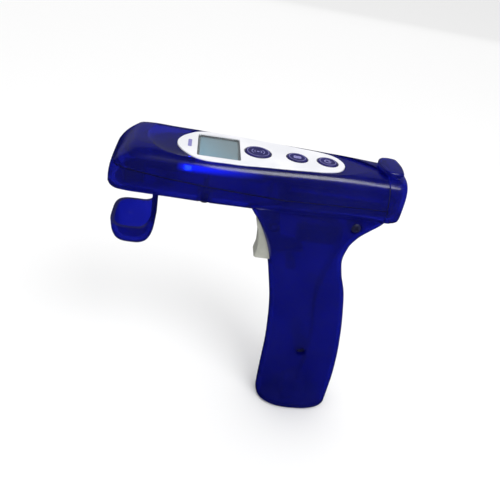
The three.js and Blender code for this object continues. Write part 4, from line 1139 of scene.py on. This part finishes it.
class SCANNER_OT_lower_shell(bpy.types.Operator):
    """Lower shell of the nose, with the slot for the tray's stem and the nose screws' recesses"""

    bl_idname = "scanner.lower_shell"
    bl_label = "Lower shell"

    def execute(self, context):
        shell = cut(barrel_form(0), barrel_form(WALL))
        keep(shell, below_seam(SEAM / 2))
        cut(shell, saddle_region(SEAM / 2))
        stem_rear = TRAY_FRONT + TRAY_LENGTH + 0.2
        slot_half = TRAY_STEM_HALF + SEAT
        slot = block(
            (stem_rear - WALL - SEAT, stem_rear + SEAT), (-slot_half, slot_half), (UNDER_Z - 3, UNDER_Z + 6)
        )
        bosses, recesses = [], []
        for side in ("left", "right"):
            node = f"nose_screw_{side}"
            x, y = middle(node, X), middle(node, Y)
            seat = low(node, Z) + HEAD_SEAT
            bosses.append(rod(Z, BOSS_RADIUS, UNDER_Z + 1, seat + 4.7, x, y, 40))
            recesses.append(rod(Z, HEAD_RECESS_RADIUS, UNDER_Z - 2, seat, x, y, 40))
            recesses.append(rod(Z, SHANK_RADIUS, UNDER_Z - 2, FACE_Z, x, y, 24))
        solid = keep(barrel_form(0), below_seam(SEAM / 2))
        for boss in bosses:
            join(shell, keep(boss, duplicate(solid)))
        bpy.data.objects.remove(solid)
        cut(shell, slot, *recesses)
        piece(shell, "lower_shell_fine", "housing", finish("blue"), ["lower_shell"])
        return {"FINISHED"}


class SCANNER_OT_painted_shade_strips(bpy.types.Operator):
    """Dark strips set into the joints between the shells: painted shade standing in for the shadow in the
    seams
    """

    bl_idname = "scanner.seam_strips"
    bl_label = "Seam strips"

    def execute(self, context):
        half = SEAM / 2 - STRIP_FIT
        bands = {
            "side_shade_strip": (above_seam(-half), below_seam(-half), before_cover(-SEAM)),
            "saddle_shade_strip": (
                saddle_region(half),
                cut(below_seam(SEAM), saddle_region(-half)),
            ),
            "cover_shade_strip": (
                cut(before_cover(half), before_cover(-half)),
                block((0, FAR), (-FAR, FAR), (HINGE_Z + 4, FAR)),
            ),
        }
        # Each strip is a dark sheet of painted shade inside a joint, where the real seam only has shadow.
        for name, limits in bands.items():
            strip = cut(barrel_form(STRIP_DEPTH), barrel_form(STRIP_DEPTH + STRIP_THICK))
            keep(strip, *limits)
            piece(strip, name, "housing", finish("black"))
        return {"FINISHED"}


class SCANNER_OT_grip_shells(bpy.types.Operator):
    """Left and right grip shells, parted on the middle plane"""

    bl_idname = "scanner.grip_shells"
    bl_label = "Grip shells"

    def execute(self, context):
        saddle = keep(barrel_form(0), saddle_region(-SEAM / 2), below_seam(SEAM / 2))
        grip = grip_form(0)
        blank = join(duplicate(grip), saddle)
        cut(blank, grip_form(WALL), barrel_form(WALL))
        screws = [
            (middle(f"grip_screw_{level}", X), middle(f"grip_screw_{level}", Z))
            for level in ("upper", "lower")
        ]
        bosses = [rod(Y, BOSS_RADIUS, -BOSS_REACH, BOSS_REACH, x, z, 40) for x, z in screws]
        spring_x = high("trigger_spring", X) + 3
        spring_z = middle("trigger_spring", Z)
        bosses.append(rod(Y, 2.6, -BOSS_REACH, BOSS_REACH, spring_x, spring_z, 40))
        slot_half = high("trigger", Y) + SLIDE
        for side in (-1, 1):
            ends = sorted((side * slot_half, side * BOSS_REACH))
            bosses.append(rod(Y, 2.8, *ends, PIVOT_X, PIVOT_Z, 40))
        for boss in bosses:
            join(blank, keep(boss, duplicate(grip)))
        bpy.data.objects.remove(grip)
        cover_zone = cut(
            block((0, FAR), (-FAR, FAR), (UNDER_Z - SEAM, FAR)), before_cover(-SEAM / 2)
        )
        lower_zone = cut(keep(barrel_form(0), below_seam(SEAM / 2)), saddle_region(-SEAM / 2))
        upper_zone = cut(barrel_form(0), below_seam(SEAM / 2))
        slot = block(
            (-FAR, PIVOT_X + 6), (-slot_half, slot_half), (low("trigger", Z) - 1.4, PIVOT_Z + 2)
        )
        mouth = block((-4.8, 4.8), (-4.3, 4.3), (-4, 5))
        pin = rod(Y, AXLE_BORE_RADIUS, -8.8, 8.8, PIVOT_X, PIVOT_Z, 32)
        cut(blank, slot, pin, mouth, cover_zone, lower_zone, upper_zone)
        head_y = low("grip_screw_upper", Y)
        for side, name in ((-1, "left"), (1, "right")):
            half = keep(
                duplicate(blank),
                block((-FAR, FAR), tuple(sorted((side * SEAM / 2, side * FAR))), (-FAR, FAR)),
            )
            lug = (side * LUG_MIDDLE - LUG_HALF, side * LUG_MIDDLE + LUG_HALF)
            root = block(
                (COVER_BOTTOM_X - 4, HINGE_X), lug, (HINGE_Z - HINGE_RADIUS, HINGE_Z + HINGE_RADIUS)
            )
            join(half, join(rod(Y, HINGE_RADIUS, *lug, HINGE_X, HINGE_Z, 32), root))
            cut(half, rod(Y, PIN_BORE_RADIUS, -FAR, FAR, HINGE_X, HINGE_Z, 32))
            hole_end = FAR if name == "left" else head_y + SCREW_HOLE_DEPTH
            for x, z in screws:
                if name == "left":
                    cut(half, rod(Y, HEAD_RECESS_RADIUS, -FAR, head_y + HEAD_SEAT, x, z, 40))
                cut(half, rod(Y, SHANK_RADIUS, -FAR, hole_end, x, z, 24))
            node = f"{name}_grip_shell"
            piece(half, f"{node}_fine", "housing", finish("blue"), [node])
        bpy.data.objects.remove(blank)
        return {"FINISHED"}


def tray_form(inset, top):
    """The tray's outer form carried straight up to a height, drawn in by inset."""
    middle_x = TRAY_FRONT + TRAY_LENGTH / 2
    depth = RIM_Z - TRAY_FLOOR - inset
    rows = [(1 - share, drawn) for share, drawn in tray_rows]
    rings = []
    for share in fine_places(rows, TRAY_STEP):
        drawn = smooth_value(rows, 1, share)
        half_x, half_y = TRAY_LENGTH / 2 - drawn - inset, TRAY_HALF - drawn - inset
        ring = round_ring(half_x, half_y, half_y, RING_POINTS, TRAY_SQUARENESS)
        rings.append([(middle_x + u, v, RIM_Z - depth * (1 - share)) for u, v in ring])
    rings.append([(x, y, top) for x, y, _ in rings[-1]])
    return loft(rings)


class SCANNER_OT_tray(bpy.types.Operator):
    """Tray under the nose, whose rear wall sweeps up into its stem"""

    bl_idname = "scanner.tray"
    bl_label = "Tray"

    def execute(self, context):
        top = high("reading_tray", Z)
        rear = TRAY_FRONT + TRAY_LENGTH
        tray = cut(tray_form(0, top), tray_form(TRAY_WALL, top + 5))
        sweep = 6
        arc = [
            (
                rear - TRAY_WALL - sweep + sweep * math.sin(turn),
                RIM_Z + sweep - sweep * math.cos(turn),
            )
            for turn in [math.pi / 2 * step / 12 for step in range(13)]
        ]
        above = [(-FAR, RIM_Z), *arc, (rear - TRAY_WALL, FAR), (-FAR, FAR)]
        cut(tray, prism(above, Y, -FAR, FAR))
        half = TRAY_STEM_HALF
        shoulder = [
            (-FAR, -FAR), (FAR, -FAR), (FAR, RIM_Z + 1), (TRAY_HALF, RIM_Z + 1),
            (half, RIM_Z + 7), (half, FAR), (-half, FAR), (-half, RIM_Z + 7),
            (-TRAY_HALF, RIM_Z + 1), (-FAR, RIM_Z + 1),
        ]
        keep(tray, prism(shoulder, X, -FAR, FAR))
        foot = block((rear - TRAY_WALL, high("reading_tray", X)), (-8.5, 8.5), (top - 1.6, top))
        join(tray, foot)
        for node in ("tray_screw_left", "tray_screw_right"):
            cut(tray, rod(Z, SHANK_RADIUS, top - 3, top + 1, middle(node, X), middle(node, Y), 24))
        piece(tray, "reading_tray_fine", "housing", finish("blue"), ["reading_tray"])
        return {"FINISHED"}


class SCANNER_OT_rear_cover(bpy.types.Operator):
    """Hinged rear cover with its thumb tab"""

    bl_idname = "scanner.rear_cover"
    bl_label = "Rear cover"

    def execute(self, context):
        cover = cut(barrel_form(0), barrel_form(WALL))
        cut(cover, before_cover(SEAM / 2))
        plane_x = COVER_BOTTOM_X - (COVER_BOTTOM_X - COVER_TOP_X) * (HINGE_Z - UNDER_Z + 3) / (
            FACE_Z + 5 - UNDER_Z + 3
        )
        heel = cut(
            block((0, HINGE_X), (-FAR, FAR), (0, HINGE_Z)),
            rod(Y, HINGE_X - plane_x - SEAM, -FAR, FAR, HINGE_X, HINGE_Z, 64),
        )
        cut(cover, heel)
        knuckle_half = LUG_MIDDLE - LUG_HALF - SLIDE
        join(
            cover,
            rod(Y, HINGE_RADIUS, -knuckle_half, knuckle_half, HINGE_X, HINGE_Z, 32),
            block(
                (HINGE_X - 0.8, REAR_X - 0.6),
                (-knuckle_half, knuckle_half),
                (UNDER_Z + 1.3, HINGE_Z + HINGE_RADIUS),
            ),
        )
        tab_top = high("rear_cover", Z)
        tab_front = low("rear_cover", X)
        tab_rear, half = REAR_X - 2.2, TAB_HALF
        side = [
            (tab_front, 0), (tab_front + 0.6, half * 0.55), (tab_front + 2.2, half * 0.88),
            (tab_front + 4.6, half), (tab_rear - 3, half), (tab_rear - 0.8, half - 0.8),
            (tab_rear, half - 3),
        ]
        outline = smooth_outline(side + [(x, -y) for x, y in reversed(side[1:])], 6)
        tab_foot = FACE_Z + 1.2
        tab = prism_bm(outline, Z, tab_foot, tab_top)
        bevel_edges(tab, sharp_edges(tab, 60, lambda e: e.verts[0].co.z > tab_top - 0.1), 1.1, 5)
        bevel_edges(tab, sharp_edges(tab, 60, lambda e: e.verts[0].co.z < tab_foot + 0.1), 0.5, 3)
        root = block(
            (COVER_TOP_X + 2, tab_rear - 1.4), (1.4 - half, half - 1.4), (FACE_Z - 2.5, FACE_Z + 2.2)
        )
        join(cover, bm_object(tab), root)
        slot_half = LUG_HALF + SLIDE
        slots = [
            block(
                (COVER_TOP_X - 5, REAR_X + 5),
                (side * LUG_MIDDLE - slot_half, side * LUG_MIDDLE + slot_half),
                (UNDER_Z - 5, HINGE_Z + 2),
            )
            for side in (-1, 1)
        ]
        cut(cover, rod(Y, PIN_BORE_RADIUS, -FAR, FAR, HINGE_X, HINGE_Z, 32), *slots)
        piece(cover, "rear_cover_fine", "rear_cover", finish("blue"), ["rear_cover"])
        return {"FINISHED"}


class SCANNER_OT_panel(bpy.types.Operator):
    """White control panel with its openings, the display window and the frame printed round it"""

    bl_idname = "scanner.panel"
    bl_label = "Panel and display"

    def execute(self, context):
        sizes = context.scene.scanner_sizes
        outline = leaf_outline(panel_leaf, PANEL_FRONT, PANEL_REAR, PANEL_HALF)
        bm = prism_bm(outline, Z, PANEL_UNDER, FACE_Z)
        rim = sharp_edges(bm, 60, lambda e: min(vert.co.z for vert in e.verts) > FACE_Z - 0.01)
        bevel_edges(bm, rim, sizes.panel_edge / MM, 3)
        panel = bm_object(bm)
        cut(panel, display_block(0, PANEL_UNDER - 1, FACE_Z + 1))
        for name in KEY_NAMES:
            x, radius = key_place(name)
            cut(panel, rod(Z, radius + SLIDE, PANEL_UNDER - 1, FACE_Z + 1, x, 0, 72))
        piece(
            panel, "control_panel_fine", "housing", finish("white"),
            ["control_panel"], flat=True,
        )

        x = middle("display_window", X)
        top, under = high("display_window", Z), low("display_window", Z)
        length = high("display_window", X) - low("display_window", X)
        width = high("display_window", Y) - low("display_window", Y)
        bm = prism_bm(rounded_rectangle(length, width, 0.8, x), Z, under, top)
        bevel_edges(bm, sharp_edges(bm, 60), 0.15, 2)
        window = bm_object(bm)
        piece(
            window, "display_window_fine", "housing", finish("window"),
            ["display_window"], flat=True,
        )

        frame_low, frame_high = high("lcd_glass", Z) + 0.05, PANEL_UNDER - 0.05
        outside = rounded_rectangle(length + 1.4, width + 1.4, 1.4, x)
        inside = rounded_rectangle(length - 1.6, width - 1.6, 0.6, x)
        ring = prism(outside, Z, frame_low, frame_high)
        cut(ring, prism(inside, Z, frame_low - 1, frame_high + 1))
        piece(ring, "display_frame", "housing", finish("mask"), flat=True)

        bar = rounded_rectangle(1.7, 8, 0.5, PANEL_FRONT + 5.6)
        mark = prism(bar, Z, FACE_Z + 0.01, FACE_Z + 0.04)
        piece(mark, "panel_mark", "housing", finish("print"), flat=True)
        return {"FINISHED"}


class SCANNER_OT_keys(bpy.types.Operator):
    """Round keys with a printed ring and a plain sign on each"""

    bl_idname = "scanner.keys"
    bl_label = "Keys"

    def execute(self, context):
        for name in KEY_NAMES:
            node = f"{name}_key"
            x, radius = key_place(name)
            crown, stem = high(node, Z), low(node, Z)
            flange_top = POCKET_Z
            profile = [
                (0, stem), (1.6, stem), (1.6, flange_top - 0.8), (radius + KEY_FLANGE, flange_top - 0.8),
                (radius + KEY_FLANGE, flange_top), (radius, flange_top), (radius, crown - 0.55),
                (radius - 0.12, crown - 0.3), (radius - 0.4, crown - 0.1), (radius - 0.8, crown),
                (radius - 1.3, crown - 0.02), (radius * 0.62, crown - 0.09),
                (radius * 0.3, crown - 0.14), (0, crown - 0.16),
            ]
            bm = turned_bm(profile, 72)
            bmesh.ops.translate(bm, verts=bm.verts, vec=(x, 0, 0))
            piece(bm_object(bm), f"{node}_fine", node, finish("keys"), [node])

            low_z, high_z = crown - 0.3, crown - 0.03
            marks = [ring_bm(radius - 1.1, 0.28, low_z, crown - 0.005)]
            if name == "read":
                for reach in (1.6, 2.9):
                    for start in (-0.75, math.pi - 0.75):
                        marks.append(ring_bm(reach, 0.32, low_z, high_z, 1.5, start, 20))
                marks.append(ring_bm(0.3, 0.6, low_z, high_z))
            if name == "menu":
                for inset in (0, 1):
                    outline = rounded_rectangle(3.6 - inset, 2.6 - inset, 0.6 - inset * 0.3)
                    marks.append(prism_bm(outline, Z, low_z - inset * 0.1, high_z))
            if name == "power":
                marks.append(ring_bm(1.5, 0.45, low_z, high_z, 1.6 * math.pi, 0.2 * math.pi, 32))
                marks.append(prism_bm(rounded_rectangle(1.6, 0.45, 0.2, 1.1), Z, low_z, high_z))
            solids = []
            for bm in marks:
                bmesh.ops.translate(bm, verts=bm.verts, vec=(x, 0, 0))
                solids.append(bm_object(bm))
            if name == "menu":
                solids[1:] = [cut(solids[1], solids[2])]
            for index, solid in enumerate(solids):
                piece(solid, f"{node}_print_{index + 1}", node, finish("print"))
        return {"FINISHED"}


class SCANNER_OT_trigger(bpy.types.Operator):
    """Trigger with its finger face, boss and switch arm"""

    bl_idname = "scanner.trigger"
    bl_label = "Trigger"

    def execute(self, context):
        sizes = context.scene.scanner_sizes
        half = high("trigger", Y)
        tip = low("trigger", Z)
        arm_end = high("trigger", X)
        back_x = PIVOT_X + 2.5
        arm_z = UNDER_Z - 23.8
        front = [
            (-7.6, 0.9), (-8.1, -1.5), (-6.6, -7), (-5.8, -12), (-5.6, -16.5), (-6.2, -20.2),
            (-6.3, -21.6), (-5.4, tip - PIVOT_Z),
        ]
        rows = [(-z, x) for x, z in front]
        curve = [
            (PIVOT_X + smooth_value(rows, 1, depth), PIVOT_Z - depth)
            for depth in fine_places(rows, 0.8)
        ]
        boss = [
            (PIVOT_X + 3.2 * math.cos(turn), PIVOT_Z + 3.2 * math.sin(turn))
            for turn in [math.pi / 2 * step / 8 for step in range(9)]
        ]
        outline = [
            *curve, (back_x, tip), (back_x, arm_z), (arm_end, arm_z), (arm_end, arm_z + 2.4),
            (back_x + 3, arm_z + 3.2), *boss,
        ]
        bm = prism_bm(outline, Y, -half, half)
        rounded = sharp_edges(bm, 60, lambda e: abs(e.verts[0].co.y - e.verts[1].co.y) < 0.1)
        bevel_edges(bm, rounded, sizes.trigger_edge / MM, 4)
        trigger = bm_object(bm)
        cut(trigger, rod(Y, AXLE_BORE_RADIUS, -FAR, FAR, PIVOT_X, PIVOT_Z, 32))
        piece(
            trigger, "trigger_fine", "trigger", finish("trigger"), ["trigger"], flat=True
        )
        return {"FINISHED"}


class SCANNER_OT_screws(bpy.types.Operator):
    """Cross-head screws of the grip and the nose, with rounded heads"""

    bl_idname = "scanner.screws"
    bl_label = "Screws"

    def execute(self, context):
        axes = {
            "grip_screw_upper": Y,
            "grip_screw_lower": Y,
            "nose_screw_left": Z,
            "nose_screw_right": Z,
        }
        for node, axis in axes.items():
            start, end = low(node, axis), high(node, axis)
            radius = (high(node, X) - low(node, X)) / 2
            profile = [
                (0, 0.02), (radius * 0.55, 0.06), (radius * 0.85, 0.25), (radius, 0.6), (radius, 1.6),
                (1.2, 1.6), (1.2, end - start - 1), (0.4, end - start), (0, end - start),
            ]
            screw = bm_object(turned_bm(profile, 40))
            arms = []
            for turn in (0, math.pi / 2):
                arm = prism_bm(rounded_rectangle(radius * 1.25, 0.62, 0.2), Z, -1, 0.85)
                bmesh.ops.rotate(arm, verts=arm.verts, matrix=Matrix.Rotation(turn + 0.4, 3, "Z"))
                arms.append(bm_object(arm))
            cut(screw, *arms)
            place = [middle(node, X), middle(node, Y), middle(node, Z)]
            place[axis] = start
            screw.data.transform(Matrix.Translation([p * MM for p in place]) @ TURN_TO[axis])
            piece(screw, f"{node}_fine", "housing", finish("screw"), [node])
        return {"FINISHED"}


class SCANNER_OT_inner_parts(bpy.types.Operator):
    """Finishes of the boards, cells, antenna, wires and switches inside the shells"""

    bl_idname = "scanner.inner_parts"
    bl_label = "Inner parts"

    def execute(self, context):
        finishes = {
            "board": ["main_board"],
            "black": [
                "controller_chip", "reader_chip", "beeper", "antenna_former", "battery_carrier",
                "trigger_switch", "read_key_switch", "menu_key_switch", "power_key_switch",
            ],
            "lamp": ["status_led"],
            "winding": ["antenna_coil"],
            "ferrite": ["antenna_ferrite"],
            "sleeve": ["battery_left", "battery_right"],
            "guide": ["lcd_backlight"],
            "lcd": ["lcd_glass"],
            "red": ["red_wire", "switch_plunger"],
            "dark": ["black_wire"],
            "spring": ["trigger_spring"],
            "steel": [
                "front_contact", "cover_contact", "port_socket", "trigger_pin", "cover_hinge_pin",
                "tray_screw_left", "tray_screw_right", "board_screw_front", "board_screw_rear",
            ],
        }
        for name, nodes in finishes.items():
            for node in nodes:
                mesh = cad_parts[node].data
                mesh.materials.clear()
                mesh.materials.append(finish(name))
        return {"FINISHED"}


# Camera: place in millimetres, then azimuth, elevation and roll in degrees, then its lens.
CAMERA_PLACE = (-78.2, -237.7, 254.3)
CAMERA_TURN = (-8.78, 32.77, 11.72)
CAMERA_LENS = 40.32
# Softboxes: name, place and target in metres, size in metres, power in watts.
SOFTBOXES = [
    ("front_softbox", (0.24, -0.5, 0.87), (-0.02, 0, 0.14), (0.44, 0.4), 3.4),
    ("rear_softbox", (0.0, 1.0, 0.75), (-0.04, 0, 0.14), (3.0, 1.6), 2.4),
]


class SCANNER_OT_stage(bpy.types.Operator):
    """Pale floor, soft studio lights and the camera"""

    bl_idname = "scanner.stage"
    bl_label = "Stage"

    def execute(self, context):
        scene = context.scene
        scene.view_settings.view_transform = "Standard"
        bm = bmesh.new()
        half = scene.scanner_sizes.floor_size / 2
        bmesh.ops.create_grid(bm, x_segments=1, y_segments=1, size=half)
        mesh = bpy.data.meshes.new("floor")
        bm.to_mesh(mesh)
        bm.free()
        floor = bpy.data.objects.new("floor", mesh)
        scene.collection.objects.link(floor)
        material, _, shader, _ = new_material("matt studio floor", Roughness=0.9)
        shader.inputs["Base Color"].default_value = [*scene.scanner_colours.floor, 1]
        shader.inputs["Specular IOR Level"].default_value = 0.1
        mesh.materials.append(material)

        world = bpy.data.worlds.new("studio")
        scene.world = world
        world.use_nodes = True
        background = world.node_tree.nodes["Background"]
        background.inputs["Color"].default_value = to_linear("#FFFFFF")
        background.inputs["Strength"].default_value = 0.9
        # The plastic mirrors only the softboxes, as in a studio with dark walls.
        world.cycles_visibility.glossy = False
        floor.visible_glossy = False
        for name, place, target, size, power in SOFTBOXES:
            data = bpy.data.lights.new(name, "AREA")
            data.shape = "RECTANGLE"
            data.size, data.size_y = size
            data.energy = power
            lamp = bpy.data.objects.new(name, data)
            direction = Vector(target) - Vector(place)
            aim = direction.to_track_quat("-Z", "Y").to_matrix().to_4x4()
            lamp.matrix_world = Matrix.Translation(place) @ aim
            scene.collection.objects.link(lamp)

        azimuth, elevation, roll = [math.radians(angle) for angle in CAMERA_TURN]
        back = Vector(
            (
                math.sin(azimuth) * math.cos(elevation),
                -math.cos(azimuth) * math.cos(elevation),
                math.sin(elevation),
            )
        )
        right = Vector((math.cos(azimuth), math.sin(azimuth), 0))
        up = back.cross(right)
        camera_right = math.cos(roll) * right + math.sin(roll) * up
        camera_up = math.cos(roll) * up - math.sin(roll) * right
        data = bpy.data.cameras.new("camera")
        data.sensor_width = 36
        data.lens = CAMERA_LENS
        data.clip_start = 0.01
        camera = bpy.data.objects.new("camera", data)
        turned = Matrix((camera_right, camera_up, back)).transposed().to_4x4()
        place = Vector(CAMERA_PLACE) * MM
        camera.matrix_world = Matrix.Translation(place) @ turned
        scene.collection.objects.link(camera)
        scene.camera = camera
        return {"FINISHED"}


OPERATORS = (
    SCANNER_OT_stage,
    SCANNER_OT_upper_shell,
    SCANNER_OT_lower_shell,
    SCANNER_OT_painted_shade_strips,
    SCANNER_OT_grip_shells,
    SCANNER_OT_rear_cover,
    SCANNER_OT_tray,
    SCANNER_OT_panel,
    SCANNER_OT_keys,
    SCANNER_OT_trigger,
    SCANNER_OT_screws,
    SCANNER_OT_inner_parts,
)


class SCANNER_PT_panel(bpy.types.Panel):
    """Sizes, colours and one button for each piece"""

    bl_label = "Microchip scanner"
    bl_space_type = "VIEW_3D"
    bl_region_type = "UI"
    bl_category = "Scanner"

    def draw(self, context):
        scene = context.scene
        for group in (scene.scanner_sizes, scene.scanner_colours):
            for name in group.bl_rna.properties.keys():
                if name not in ("rna_type", "name"):
                    self.layout.prop(group, name)
        for operator in OPERATORS:
            self.layout.operator(operator.bl_idname)


CLASSES = (ScannerSizes, ScannerColours, *OPERATORS, SCANNER_PT_panel)


def register():
    for cls in CLASSES:
        bpy.utils.register_class(cls)
    bpy.types.Scene.scanner_sizes = bpy.props.PointerProperty(type=ScannerSizes)
    bpy.types.Scene.scanner_colours = bpy.props.PointerProperty(type=ScannerColours)


def unregister():
    del bpy.types.Scene.scanner_sizes
    del bpy.types.Scene.scanner_colours
    for cls in reversed(CLASSES):
        bpy.utils.unregister_class(cls)


def main():
    register()
    for operator in OPERATORS:
        area, name = operator.bl_idname.split(".")
        getattr(getattr(bpy.ops, area), name)()


if __name__ == "__main__":
    main()
